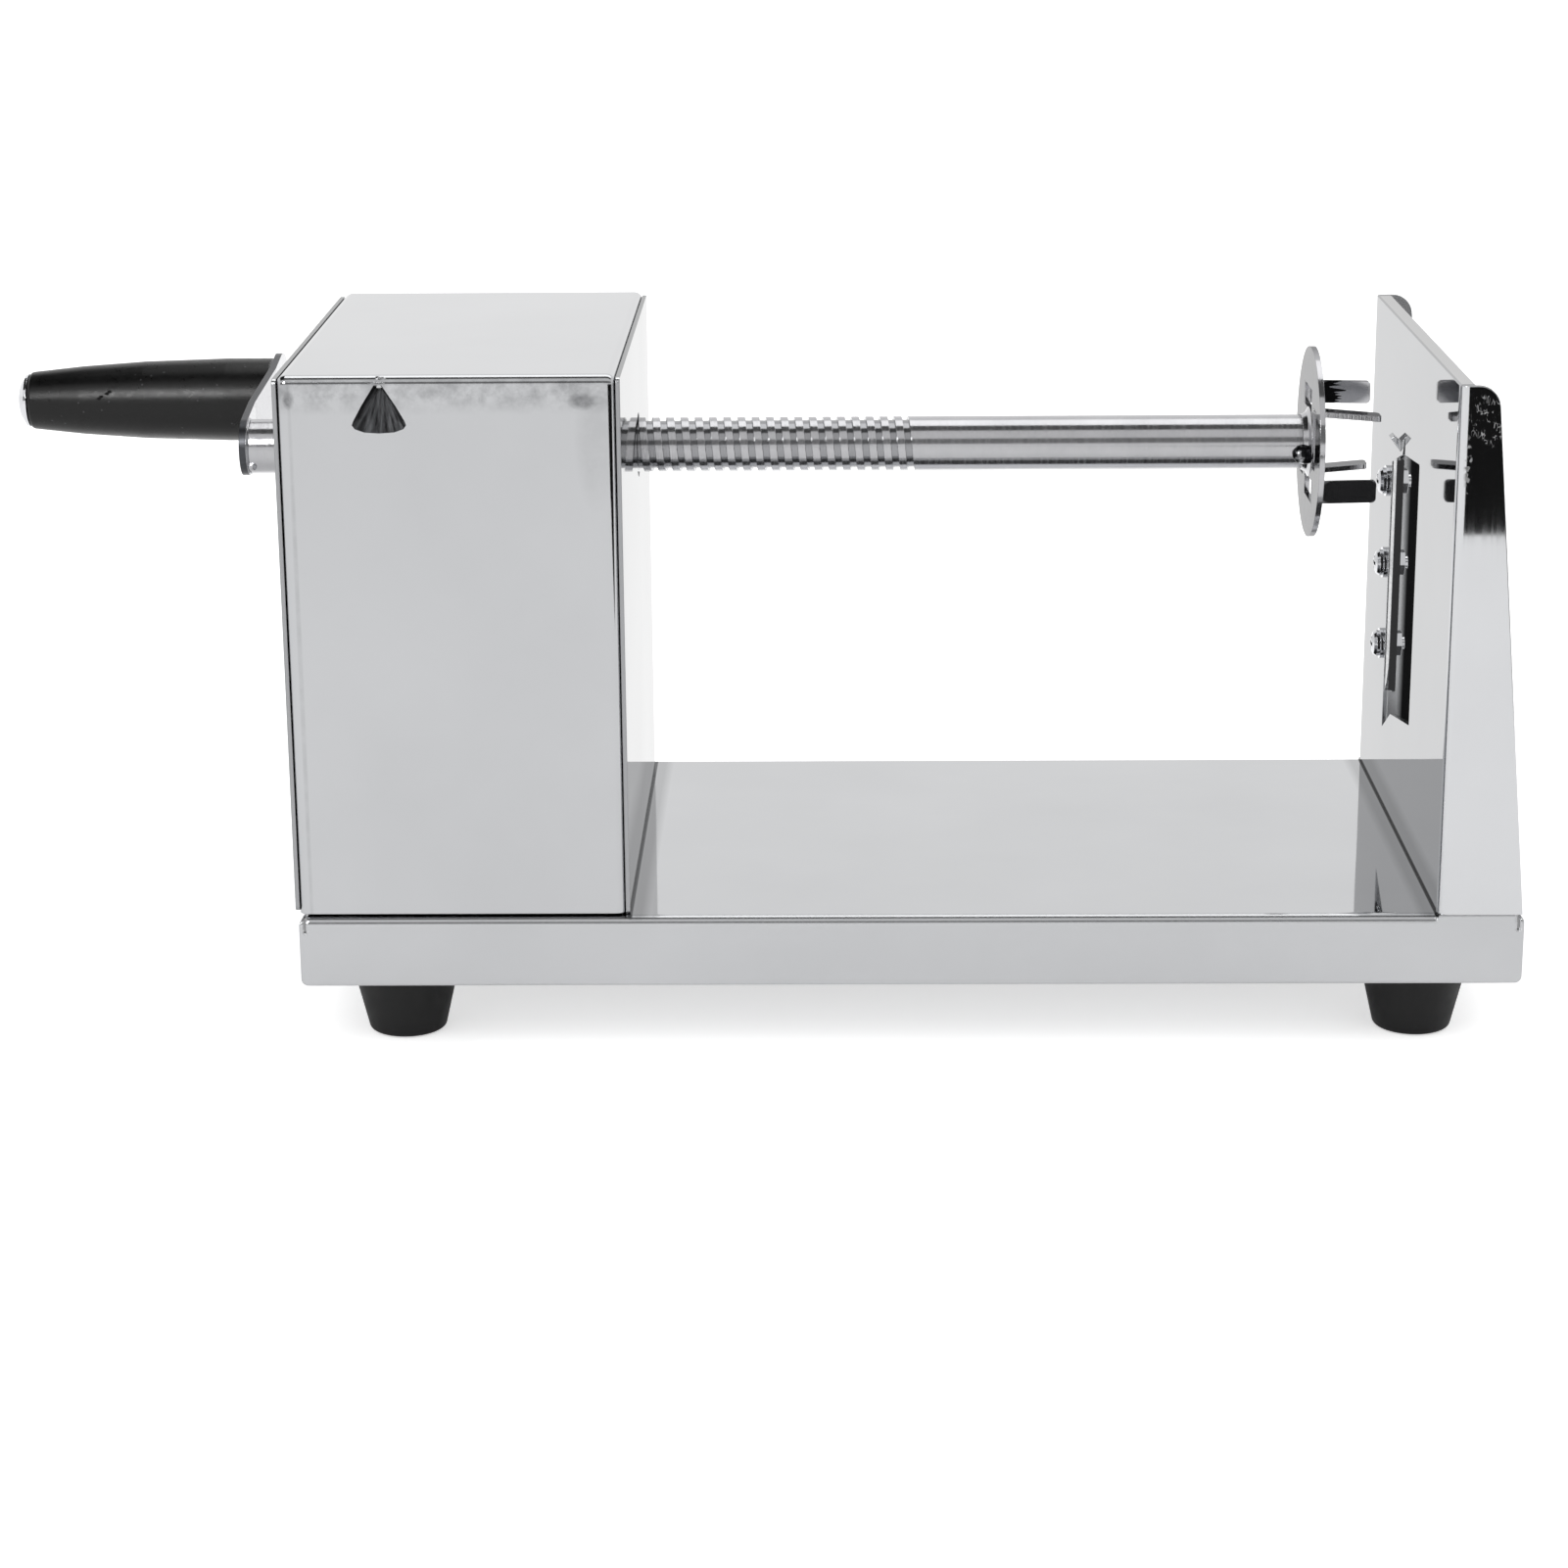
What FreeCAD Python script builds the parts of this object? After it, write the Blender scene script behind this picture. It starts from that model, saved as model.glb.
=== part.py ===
import FreeCAD, Part
import Sketcher
import math
import os

from FreeCAD import Vector

# Hand cranked cutter for spiral ("tornado") potatoes. A threaded tube turns in a nut
# inside a sheet steel housing and pushes a pronged disc towards an upright blade.
#
# Bench frame used for the sketches: X runs along the base from its left end, Y from its
# front edge to the back, Z up from the top of the base. Each sub-part's Placement then
# carries it to the part's frame: middle of the bounding box in X and Y, floor at Z = 0.

os.makedirs("parts", exist_ok=True)
doc = FreeCAD.newDocument("tornado_potato_cutter")

# ---------------------------------------------------------------- driving dimensions
dimensions = [
    # base tray, folded from one sheet with return lips along the two long sides
    ("base_length", 345.0), ("base_depth", 162.0), ("skirt_height", 20.2),
    ("base_gauge", 1.2), ("base_bend", 2.5), ("lip_width", 34.0),
    ("relief_width", 0.8), ("relief_depth", 4.5), ("base_corner", 2.0),
    # rubber feet, each on a screw through a return lip
    ("foot_inset_along", 27.8), ("foot_inset_across", 18.0), ("foot_height", 18.4),
    ("foot_top_radius", 15.2), ("foot_bottom_radius", 10.9), ("foot_round", 1.6),
    ("foot_recess_radius", 5.4), ("foot_recess_depth", 7.0),
    ("foot_screw_radius", 2.5), ("foot_screw_head_radius", 4.6), ("foot_screw_head_height", 3.0),
    ("foot_nut_flats", 8.0), ("foot_nut_height", 4.0),
    # upright end plate that carries the blade
    ("plate_inset", 24.5), ("plate_height", 150.0), ("plate_gauge", 1.5), ("plate_bend", 2.4),
    ("flange_top", 10.6), ("flange_foot_gap", 0.6), ("flange_corner", 6.0), ("plate_lip", 4.2),
    # slot in the end plate
    ("slot_back", 116.0), ("slot_front", 64.0), ("slot_peak_across", 100.5),
    ("slot_back_top", 106.2), ("slot_peak_top", 111.0), ("slot_front_top", 115.6),
    ("slot_back_bottom", 23.0), ("slot_peak_bottom", 31.2), ("slot_front_bottom", 37.6),
    ("nick_across", 92.2), ("nick_top", 119.0), ("nick_shoulder", 96.5),
    ("spur_width", 5.0), ("spur_rise", 4.4), ("spur_reach", 3.0),
    # blade, its screws, washers and nuts
    ("blade_length", 76.0), ("blade_gauge", 1.0), ("blade_flat", 21.4), ("blade_step", 2.5),
    ("blade_step_run", 1.8), ("blade_bevel", 6.1), ("blade_edge_land", 0.15),
    ("blade_hole_radius", 2.8), ("blade_hole_margin", 7.6), ("blade_hole_pitch", 25.5),
    ("blade_hole_across", 122.2), ("blade_middle_height", 73.6), ("blade_heel", 14.0),
    ("blade_slot_gap", 0.5), ("blade_screw_radius", 2.0), ("blade_screw_clearance", 0.25),
    ("blade_head_radius", 4.0), ("blade_head_height", 2.4), ("blade_washer_radius", 4.7),
    ("blade_washer_gauge", 1.0), ("blade_nut_flats", 7.0), ("blade_nut_height", 3.2),
    # housing: folded front, top and back, with two side walls between them
    ("housing_left", 0.2), ("housing_width", 92.2), ("housing_front", 1.0),
    ("housing_depth", 150.0), ("housing_height", 154.0), ("housing_gauge", 1.2),
    ("housing_bend", 2.5), ("housing_lip", 7.0), ("housing_side_lip", 4.0), ("wall_gauge", 1.2),
    ("wall_foot_gap", 1.4), ("wall_edge_gap", 1.0), ("front_foot_gap", 0.8),
    ("dent_along", 28.0), ("dent_half_width", 7.4), ("dent_length", 13.2), ("dent_depth", 3.2),
    ("wall_hole_radius", 9.5),
    # crank tube and its helical groove
    ("axis_across", 89.5), ("axis_height", 117.7), ("tube_radius", 8.0), ("tube_wall", 2.6),
    ("tube_stub", 21.8), ("groove_pitch", 4.2), ("groove_width", 1.95), ("groove_depth", 1.0),
    ("groove_end", 176.3), ("running_clearance", 0.08),
    # nut in the housing, with a follower screw whose tip rides in the groove
    ("nut_radius", 16.0), ("nut_length", 18.0), ("follower_inset", 8.4),
    ("follower_radius", 3.0), ("follower_tip_radius", 0.8), ("follower_reach", 0.75),
    ("follower_head_radius", 4.5), ("follower_head_height", 3.0),
    # guide bush behind the right wall
    ("guide_radius", 14.0), ("guide_length", 10.0),
    # pusher disc with four punched prongs
    ("disc_standoff", 29.1), ("disc_radius", 28.0), ("disc_gauge", 1.6), ("disc_hole_radius", 3.5),
    ("prong_width", 6.6), ("prong_length", 17.5), ("prong_bend", 11.8), ("prong_offset", 13.0),
    ("prong_lean", 1.5),
    ("prong_corner", 1.2), ("weld_leg", 2.4), ("bush_length", 22.0), ("bush_gap", 0.3),
    # crank arm and handle
    ("arm_gauge", 2.0), ("arm_half_width", 8.5), ("arm_far_radius", 14.2), ("arm_set", 2.1),
    ("arm_set_start", 14.0), ("arm_set_end", 44.0),
    ("crank_back", 57.6), ("crank_rise", 3.7), ("arm_weld_leg", 0.8),
    ("spindle_radius", 4.0), ("spindle_neck_radius", 3.0), ("rivet_radius", 3.9),
    ("rivet_height", 3.2), ("handle_washer_radius", 9.0), ("handle_washer_gauge", 1.2),
    ("handle_gap", 0.25), ("grip_length", 75.4), ("grip_radius", 12.7),
    ("grip_waist_radius", 11.9), ("grip_shoulder_radius", 10.5), ("grip_end_radius", 8.7),
    ("grip_round", 1.4), ("cap_radius", 8.2), ("cap_rim", 0.9), ("cap_height", 3.6), ("cap_blend", 3.0),
]

sheet = doc.addObject("Spreadsheet::Sheet", "Sizes")
for row, (alias, value) in enumerate(dimensions, start=1):
    sheet.set("A%d" % row, alias)
    sheet.set("B%d" % row, str(value))
    sheet.setAlias("B%d" % row, alias)
doc.recompute()


def number(expression):
    """Value of an expression over the sheet, for a sketch's first guess."""
    return float(sheet.evalExpression(expression))


def sized(name):
    return "Sizes." + name


def total(*names):
    """Expression for a sum of sizes; a leading minus takes one away."""
    text = "0"
    for name in names:
        text += (" - " + sized(name[1:])) if name.startswith("-") else (" + " + sized(name))
    return text


def add(*expressions):
    return " + ".join("(%s)" % expression for expression in expressions)


def minus(first, second):
    return "(%s) - (%s)" % (first, second)


def times(expression, factor):
    return "(%s) * %s" % (expression, factor)


# places shared by several sub-parts
plate_face = total("base_length", "-plate_inset")
plate_back = add(plate_face, sized("plate_gauge"))
wall_left_outside = total("housing_left", "-wall_gauge")
wall_left_inside = sized("housing_left")
wall_right_inside = total("housing_left", "housing_width")
follower_along = add(wall_left_inside, sized("follower_inset"))
groove_start = minus(follower_along, times(sized("groove_pitch"), 2))
disc_left = total("base_length", "-plate_inset", "-disc_standoff")
prong_tip = add(disc_left, total("disc_gauge", "prong_length"))
tube_left = "0 - " + sized("tube_stub")
arm_left = minus(tube_left, sized("arm_gauge"))
arm_far_left = add(arm_left, sized("arm_set"))
arm_far_right = add(tube_left, sized("arm_set"))
grip_right = minus(arm_far_left, total("handle_washer_gauge", "handle_gap"))
grip_left = minus(grip_right, sized("grip_length"))
cap_right = minus(grip_left, sized("handle_gap"))
cap_left = minus(cap_right, sized("cap_height"))
blade_back_edge = total("blade_hole_across", "blade_hole_margin")
blade_flat_front = minus(blade_back_edge, sized("blade_flat"))
blade_step_front = minus(blade_flat_front, sized("blade_step_run"))
blade_edge = minus(blade_step_front, sized("blade_bevel"))
blade_bottom = minus(sized("blade_middle_height"), times(sized("blade_length"), 0.5))
blade_top = add(sized("blade_middle_height"), times(sized("blade_length"), 0.5))

# the bench frame's origin as seen from the part's own frame
frame_along = times(add(sized("base_length"), cap_left), -0.5)
frame_across = times(sized("base_depth"), -0.5)
frame_up = total("skirt_height", "foot_height")


# ---------------------------------------------------------------- modelling helpers
made_parts = []


def new_body(label, along="0", across="0", up="0"):
    """A named sub-part whose Placement brings it from the bench frame into the part's frame."""
    body = doc.addObject("PartDesign::Body", label)
    body.Label = label
    body.setExpression("Placement.Base.x", add(frame_along, along))
    body.setExpression("Placement.Base.y", add(frame_across, across))
    body.setExpression("Placement.Base.z", add(frame_up, up))
    made_parts.append(body)
    return body


def on_axis(label):
    """A sub-part drawn about the crank axis."""
    return new_body(label, "0", sized("axis_across"), sized("axis_height"))


def on_spindle(label):
    """A sub-part drawn about the handle's spindle."""
    return new_body(label, "0", total("axis_across", "crank_back"), total("axis_height", "crank_rise"))


def origin_plane(body, role):
    return [item for item in body.Origin.OriginFeatures if item.Role == role][0]


def new_sketch(body, name, role, shift="0"):
    """A sketch on one of the body's own planes, moved along the plane's normal."""
    sketch = body.newObject("Sketcher::SketchObject", body.Label + "_" + name)
    sketch.AttachmentSupport = [(origin_plane(body, role), "")]
    sketch.MapMode = "FlatFace"
    sketch.setExpression("AttachmentOffset.Base.z", shift)
    return sketch


def pin_point(sketch, geometry, point, horizontal, vertical):
    """Dimension one point of a sketch from the sketch's origin."""
    for kind, expression in (("DistanceX", horizontal), ("DistanceY", vertical)):
        index = sketch.addConstraint(
            Sketcher.Constraint(kind, -1, 1, geometry, point, number(expression)))
        sketch.setExpression("Constraints[%d]" % index, expression)


def draw_polygon(sketch, corners):
    """A closed outline of straight lines with every corner dimensioned."""
    first = sketch.GeometryCount
    guess = [Vector(number(u), number(v), 0) for u, v in corners]
    count = len(corners)
    for i in range(count):
        sketch.addGeometry(Part.LineSegment(guess[i], guess[(i + 1) % count]), False)
    for i in range(count):
        sketch.addConstraint(Sketcher.Constraint(
            "Coincident", first + i, 2, first + (i + 1) % count, 1))
    for i, (u, v) in enumerate(corners):
        pin_point(sketch, first + i, 1, u, v)


def draw_rectangle(sketch, left, bottom, right, top):
    draw_polygon(sketch, [(left, bottom), (right, bottom), (right, top), (left, top)])


def draw_circle(sketch, centre_u, centre_v, radius):
    centre = Vector(number(centre_u), number(centre_v), 0)
    index = sketch.addGeometry(Part.Circle(centre, Vector(0, 0, 1), number(radius)), False)
    pin_point(sketch, index, 3, centre_u, centre_v)
    fixed = sketch.addConstraint(Sketcher.Constraint("Radius", index, number(radius)))
    sketch.setExpression("Constraints[%d]" % fixed, radius)


def pad(body, sketch, length, backwards=False):
    feature = body.newObject("PartDesign::Pad", sketch.Name + "_pad")
    feature.Profile = sketch
    feature.setExpression("Length", length)
    feature.Reversed = backwards
    doc.recompute()
    return feature


def pocket(body, sketch, length, backwards=False):
    """A cut whose volume is compared, because one that points away removes nothing."""
    doc.recompute()
    before = body.Shape.Volume
    feature = body.newObject("PartDesign::Pocket", sketch.Name + "_pocket")
    feature.Profile = sketch
    feature.setExpression("Length", length)
    feature.Reversed = backwards
    doc.recompute()
    if not body.Shape.Volume < before - 1e-6:
        raise RuntimeError(feature.Name + " removes nothing")
    return feature


def revolve(body, sketch, axis="H_Axis"):
    feature = body.newObject("PartDesign::Revolution", sketch.Name + "_revolution")
    feature.Profile = sketch
    feature.ReferenceAxis = (sketch, [axis])
    feature.Angle = 360.0
    doc.recompute()
    return feature


def round_edges(body, radius, wanted):
    """Fillet the edges of the body's tip that the test accepts."""
    tip = body.Tip
    names = ["Edge%d" % (i + 1) for i, edge in enumerate(tip.Shape.Edges) if wanted(edge)]
    if not names:
        raise RuntimeError("no edge to round on " + body.Label)
    feature = body.newObject("PartDesign::Fillet", body.Label + "_round_%d" % len(body.Group))
    feature.Base = (tip, names)
    feature.setExpression("Radius", radius)
    doc.recompute()
    return feature


def runs_along(edge, direction):
    if not isinstance(edge.Curve, Part.Line) and edge.Curve.TypeId != "Part::GeomLine":
        return False
    return abs(edge.Curve.Direction.dot(direction)) > 0.999


def middle(edge):
    return edge.CenterOfMass


def close(value, expression):
    return abs(value - number(expression)) < 0.02


along_x, along_y, along_z = Vector(1, 0, 0), Vector(0, 1, 0), Vector(0, 0, 1)

# ---------------------------------------------------------------- base tray
tray = new_body("base_tray")
outline = new_sketch(tray, "outline", "XY_Plane")
draw_rectangle(outline, "0", "0", sized("base_length"), sized("base_depth"))
pad(tray, outline, sized("skirt_height"), True)
round_edges(tray, sized("base_bend"), lambda edge: close(middle(edge).z, "0"))
round_edges(tray, sized("base_corner"), lambda edge: runs_along(edge, along_y)
            and close(middle(edge).z, "0 - " + sized("skirt_height")))
cavity = new_sketch(tray, "cavity", "YZ_Plane", sized("base_gauge"))
draw_rectangle(cavity, sized("base_gauge"), times(minus(sized("skirt_height"), sized("base_gauge")), -1),
               total("base_depth", "-base_gauge"), "0 - " + sized("base_gauge"))
pocket(tray, cavity, total("base_length", "-base_gauge", "-base_gauge"), True)
mouth = new_sketch(tray, "mouth", "XY_Plane", "0 - " + sized("skirt_height"))
draw_rectangle(mouth, sized("base_gauge"), sized("lip_width"),
               total("base_length", "-base_gauge"), total("base_depth", "-lip_width"))
pocket(tray, mouth, times(sized("base_gauge"), 1.5), True)
# the long bends stop at the end plate, whose flanges stand flush on the skirts
seams = new_sketch(tray, "seams", "YZ_Plane", plate_face)
draw_rectangle(seams, "0", "0 - " + sized("base_bend"), sized("base_bend"), "0")
draw_rectangle(seams, total("base_depth", "-base_bend"), "0 - " + sized("base_bend"),
               sized("base_depth"), "0")
pad(tray, seams, minus(sized("plate_inset"), sized("base_bend")))
# corner reliefs: narrow slits where the long skirts meet the short ones
relief_far = total("base_length", "-base_gauge", "-relief_width")
for name, face in (("front", "0"), ("back", total("base_depth", "-base_bend", "-base_gauge"))):
    relief = new_sketch(tray, "relief_" + name, "XZ_Plane", "0 - (%s)" % face)
    for left in (sized("base_gauge"), relief_far):
        draw_rectangle(relief, left, "0 - " + sized("relief_depth"), add(left, sized("relief_width")), "1")
    pocket(tray, relief, total("base_bend", "base_gauge"), False)
foot_places = {
    "front_left": (sized("foot_inset_along"), sized("foot_inset_across")),
    "front_right": (total("base_length", "-foot_inset_along"), sized("foot_inset_across")),
    "back_left": (sized("foot_inset_along"), total("base_depth", "-foot_inset_across")),
    "back_right": (total("base_length", "-foot_inset_along"), total("base_depth", "-foot_inset_across")),
}
foot_holes = new_sketch(tray, "foot_holes", "XY_Plane", "0 - " + sized("skirt_height"))
for u, v in foot_places.values():
    draw_circle(foot_holes, u, v, add(sized("foot_screw_radius"), "0.25"))
pocket(tray, foot_holes, times(sized("base_gauge"), 1.5), True)

# ---------------------------------------------------------------- feet
lip_under = "0 - " + sized("skirt_height")
for place, (u, v) in foot_places.items():
    foot = new_body("foot_" + place, u, v, lip_under)
    section = new_sketch(foot, "section", "XZ_Plane")
    hole = add(sized("foot_screw_radius"), "0.1")
    draw_polygon(section, [
        (hole, "0"), (hole, minus(sized("foot_recess_depth"), sized("foot_height"))),
        (sized("foot_recess_radius"), minus(sized("foot_recess_depth"), sized("foot_height"))),
        (sized("foot_recess_radius"), "0 - " + sized("foot_height")),
        (sized("foot_bottom_radius"), "0 - " + sized("foot_height")),
        (sized("foot_top_radius"), "0")])
    revolve(foot, section, "V_Axis")
    round_edges(foot, sized("foot_round"), lambda edge: close(middle(edge).z, "0 - " + sized("foot_height"))
                and edge.Curve.TypeId == "Part::GeomCircle"
                and edge.Curve.Radius > number(sized("foot_recess_radius")) + 0.1)

    screw = new_body("foot_screw_" + place, u, v, lip_under)
    section = new_sketch(screw, "section", "XZ_Plane")
    seat = minus(sized("foot_recess_depth"), sized("foot_height"))
    tip = total("base_gauge", "foot_nut_height", "base_gauge")
    draw_polygon(section, [
        ("0", tip), ("0", minus(seat, sized("foot_screw_head_height"))),
        (times(sized("foot_screw_head_radius"), 0.6), minus(seat, sized("foot_screw_head_height"))),
        (sized("foot_screw_head_radius"), minus(seat, times(sized("foot_screw_head_height"), 0.6))),
        (sized("foot_screw_head_radius"), seat), (sized("foot_screw_radius"), seat),
        (sized("foot_screw_radius"), tip)])
    revolve(screw, section, "V_Axis")

    nut = new_body("foot_nut_" + place, u, v, add(lip_under, sized("base_gauge")))
    hexagon = new_sketch(nut, "hexagon", "XY_Plane")
    corner = times(sized("foot_nut_flats"), 0.57735)
    draw_polygon(hexagon, [(times(corner, round(math.cos(math.radians(60 * i)), 6)),
                            times(corner, round(math.sin(math.radians(60 * i)), 6))) for i in range(6)])
    draw_circle(hexagon, "0", "0", sized("foot_screw_radius"))
    pad(nut, hexagon, sized("foot_nut_height"))

# ---------------------------------------------------------------- end plate
plate = new_body("end_plate")
web = new_sketch(plate, "web", "YZ_Plane", plate_face)
draw_rectangle(web, "0", "0", sized("base_depth"), sized("plate_height"))
pad(plate, web, sized("plate_gauge"))
flange_outline = [
    (plate_face, "0"), (total("base_length", "-flange_foot_gap"), "0"),
    (add(plate_face, sized("flange_top")), sized("plate_height")), (plate_face, sized("plate_height"))]
for name, shift in (("back_flange", "0 - " + sized("base_depth")), ("front_flange", "0 - " + sized("plate_gauge"))):
    flange = new_sketch(plate, name, "XZ_Plane", shift)
    draw_polygon(flange, flange_outline)
    pad(plate, flange, sized("plate_gauge"))
top_lip = new_sketch(plate, "top_lip", "XY_Plane", sized("plate_height"))
draw_rectangle(top_lip, plate_face, "0", add(plate_face, sized("plate_lip")), sized("base_depth"))
pad(plate, top_lip, sized("plate_gauge"), True)
round_edges(plate, sized("flange_corner"), lambda edge: runs_along(edge, along_y)
            and close(middle(edge).x, add(plate_face, sized("flange_top")))
            and close(middle(edge).z, sized("plate_height")))
round_edges(plate, sized("plate_bend"), lambda edge: runs_along(edge, along_z)
            and close(middle(edge).x, plate_face) and edge.Length > 50)
slot = new_sketch(plate, "slot", "YZ_Plane", plate_face)
draw_polygon(slot, [
    (sized("slot_back"), sized("slot_back_top")), (sized("slot_peak_across"), sized("slot_peak_top")),
    (sized("nick_shoulder"), add(sized("slot_peak_top"), "1")), (sized("nick_across"), sized("nick_top")),
    (minus(sized("nick_across"), "0.6"), add(sized("slot_peak_top"), "2.0")),
    (sized("slot_front"), sized("slot_front_top")), (sized("slot_front"), sized("slot_front_bottom")),
    (sized("slot_peak_across"), sized("slot_peak_bottom")), (sized("slot_back"), sized("slot_back_bottom"))])
pocket(plate, slot, sized("plate_gauge"), True)
blade_heights = {
    "top": add(sized("blade_middle_height"), sized("blade_hole_pitch")),
    "middle": sized("blade_middle_height"),
    "bottom": minus(sized("blade_middle_height"), sized("blade_hole_pitch")),
}
screw_holes = new_sketch(plate, "screw_holes", "YZ_Plane", plate_face)
for height in blade_heights.values():
    draw_circle(screw_holes, sized("blade_hole_across"), height,
                total("blade_screw_radius", "blade_screw_clearance"))
pocket(plate, screw_holes, sized("plate_gauge"), True)
# a small tongue beside the nick, pushed out towards the disc
spur = new_sketch(plate, "spur", "XZ_Plane", times(sized("slot_peak_across"), -1))
spur_root = add(sized("slot_peak_top"), "0.9")
draw_polygon(spur, [
    (plate_back, spur_root), (plate_face, add(spur_root, "0.4")),
    (minus(plate_face, sized("spur_reach")), add(spur_root, sized("spur_rise"))),
    (minus(plate_face, minus(sized("spur_reach"), "1.1")), add(spur_root, sized("spur_rise"), "0.9")),
    (plate_back, add(spur_root, "1.9"))])
pad(plate, spur, sized("spur_width"), True)

# ---------------------------------------------------------------- blade and its fixings
blade = new_body("cutting_blade")
section = new_sketch(blade, "section", "XY_Plane", blade_bottom)
front_face = minus(plate_back, sized("blade_step"))
draw_polygon(section, [
    (plate_back, blade_back_edge), (plate_back, blade_flat_front), (front_face, blade_step_front),
    (front_face, blade_edge), (add(front_face, sized("blade_edge_land")), blade_edge),
    (add(front_face, sized("blade_gauge")), blade_step_front),
    (add(plate_back, sized("blade_gauge")), blade_flat_front),
    (add(plate_back, sized("blade_gauge")), blade_back_edge)])
pad(blade, section, sized("blade_length"))
corners = new_sketch(blade, "corners", "YZ_Plane", minus(front_face, "1"))
low, high = blade_bottom, blade_top
# what stands in the slot ends below the slot's slanted top edge
slot_fall = "(%s) / (%s)" % (minus(sized("slot_peak_top"), sized("slot_back_top")),
                             minus(sized("slot_back"), sized("slot_peak_across")))
notch_across = add(blade_flat_front, sized("blade_slot_gap"))
notch_front_top = minus(sized("slot_peak_top"), sized("blade_slot_gap"))
notch_back_top = minus(notch_front_top, "(%s) * (%s)" % (
    minus(notch_across, sized("slot_peak_across")), slot_fall))
draw_polygon(corners, [
    (minus(blade_edge, "1"), add(low, sized("blade_heel"))), (blade_edge, add(low, sized("blade_heel"))),
    (add(blade_edge, times(sized("blade_heel"), 0.05)), add(low, times(sized("blade_heel"), 0.7))),
    (add(blade_edge, times(sized("blade_heel"), 0.2)), add(low, times(sized("blade_heel"), 0.38))),
    (add(blade_edge, times(sized("blade_heel"), 0.42)), add(low, times(sized("blade_heel"), 0.13))),
    (add(blade_edge, times(sized("blade_heel"), 0.7)), low),
    (add(blade_edge, times(sized("blade_heel"), 0.7)), minus(low, "1")), (minus(blade_edge, "1"), minus(low, "1"))])
draw_polygon(corners, [
    (minus(blade_edge, "1"), notch_front_top), (notch_across, notch_back_top),
    (notch_across, add(high, "1")), (minus(blade_edge, "1"), add(high, "1"))])
pocket(blade, corners, add(sized("blade_step"), sized("blade_gauge"), "3"), True)
holes = new_sketch(blade, "holes", "YZ_Plane", plate_back)
for height in blade_heights.values():
    draw_circle(holes, sized("blade_hole_across"), height, sized("blade_hole_radius"))
pocket(blade, holes, sized("blade_gauge"), True)

for place, height in blade_heights.items():
    screw = new_body("blade_screw_" + place, plate_face, sized("blade_hole_across"), height)
    section = new_sketch(screw, "section", "XZ_Plane")
    head = "0 - " + sized("blade_washer_gauge")
    tip = total("plate_gauge", "blade_gauge", "blade_nut_height", "blade_washer_gauge")
    draw_polygon(section, [
        (tip, "0"), (minus(head, sized("blade_head_height")), "0"),
        (minus(head, sized("blade_head_height")), times(sized("blade_head_radius"), 0.45)),
        (minus(head, times(sized("blade_head_height"), 0.75)), times(sized("blade_head_radius"), 0.85)),
        (minus(head, times(sized("blade_head_height"), 0.4)), sized("blade_head_radius")),
        (head, sized("blade_head_radius")), (head, sized("blade_screw_radius")),
        (tip, sized("blade_screw_radius"))])
    revolve(screw, section)

    cross = new_sketch(screw, "cross", "YZ_Plane", minus(head, sized("blade_head_height")))
    arm_long, arm_short = times(sized("blade_head_radius"), 0.52), times(sized("blade_head_radius"), 0.13)
    long_end, short_end = minus("0", arm_long), minus("0", arm_short)
    draw_polygon(cross, [
        (arm_long, short_end), (arm_long, arm_short), (arm_short, arm_short), (arm_short, arm_long),
        (short_end, arm_long), (short_end, arm_short), (long_end, arm_short), (long_end, short_end),
        (short_end, short_end), (short_end, long_end), (arm_short, long_end), (arm_short, short_end)])
    pocket(screw, cross, times(sized("blade_head_height"), 0.6), True)

    washer = new_body("blade_washer_" + place, plate_face, sized("blade_hole_across"), height)
    ring = new_sketch(washer, "ring", "YZ_Plane", "0 - " + sized("blade_washer_gauge"))
    draw_circle(ring, "0", "0", sized("blade_washer_radius"))
    draw_circle(ring, "0", "0", add(sized("blade_screw_radius"), "0.1"))
    pad(washer, ring, sized("blade_washer_gauge"))

    nut = new_body("blade_nut_" + place, add(plate_back, sized("blade_gauge")),
                   sized("blade_hole_across"), height)
    hexagon = new_sketch(nut, "hexagon", "YZ_Plane")
    corner = times(sized("blade_nut_flats"), 0.57735)
    draw_polygon(hexagon, [(times(corner, round(math.cos(math.radians(60 * i)), 6)),
                            times(corner, round(math.sin(math.radians(60 * i)), 6))) for i in range(6)])
    draw_circle(hexagon, "0", "0", sized("blade_screw_radius"))
    pad(nut, hexagon, sized("blade_nut_height"))

# ---------------------------------------------------------------- housing
shell = new_body("housing_shell")
housing_back = total("housing_front", "housing_depth")
housing_right = total("housing_left", "housing_width")
block = new_sketch(shell, "block", "YZ_Plane", sized("housing_left"))
draw_rectangle(block, sized("housing_front"), "0", housing_back, sized("housing_height"))
pad(shell, block, sized("housing_width"))
round_edges(shell, sized("housing_bend"), lambda edge: close(middle(edge).z, sized("housing_height"))
            or runs_along(edge, along_z))
room = new_sketch(shell, "room", "YZ_Plane", total("housing_left", "housing_gauge"))
draw_rectangle(room, total("housing_front", "housing_gauge"), "-1",
               minus(housing_back, sized("housing_gauge")), total("housing_height", "-housing_gauge"))
pocket(shell, room, total("housing_width", "-housing_gauge", "-housing_gauge"), True)
# each side is open for its wall, inside a narrow folded lip
sides = new_sketch(shell, "sides", "YZ_Plane", minus(sized("housing_left"), "1"))
draw_rectangle(sides, total("housing_front", "housing_bend", "housing_side_lip"), "-1",
               minus(housing_back, total("housing_bend", "housing_side_lip")),
               total("housing_height", "-housing_lip"))
pocket(shell, sides, add(sized("housing_width"), "2"), True)
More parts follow.
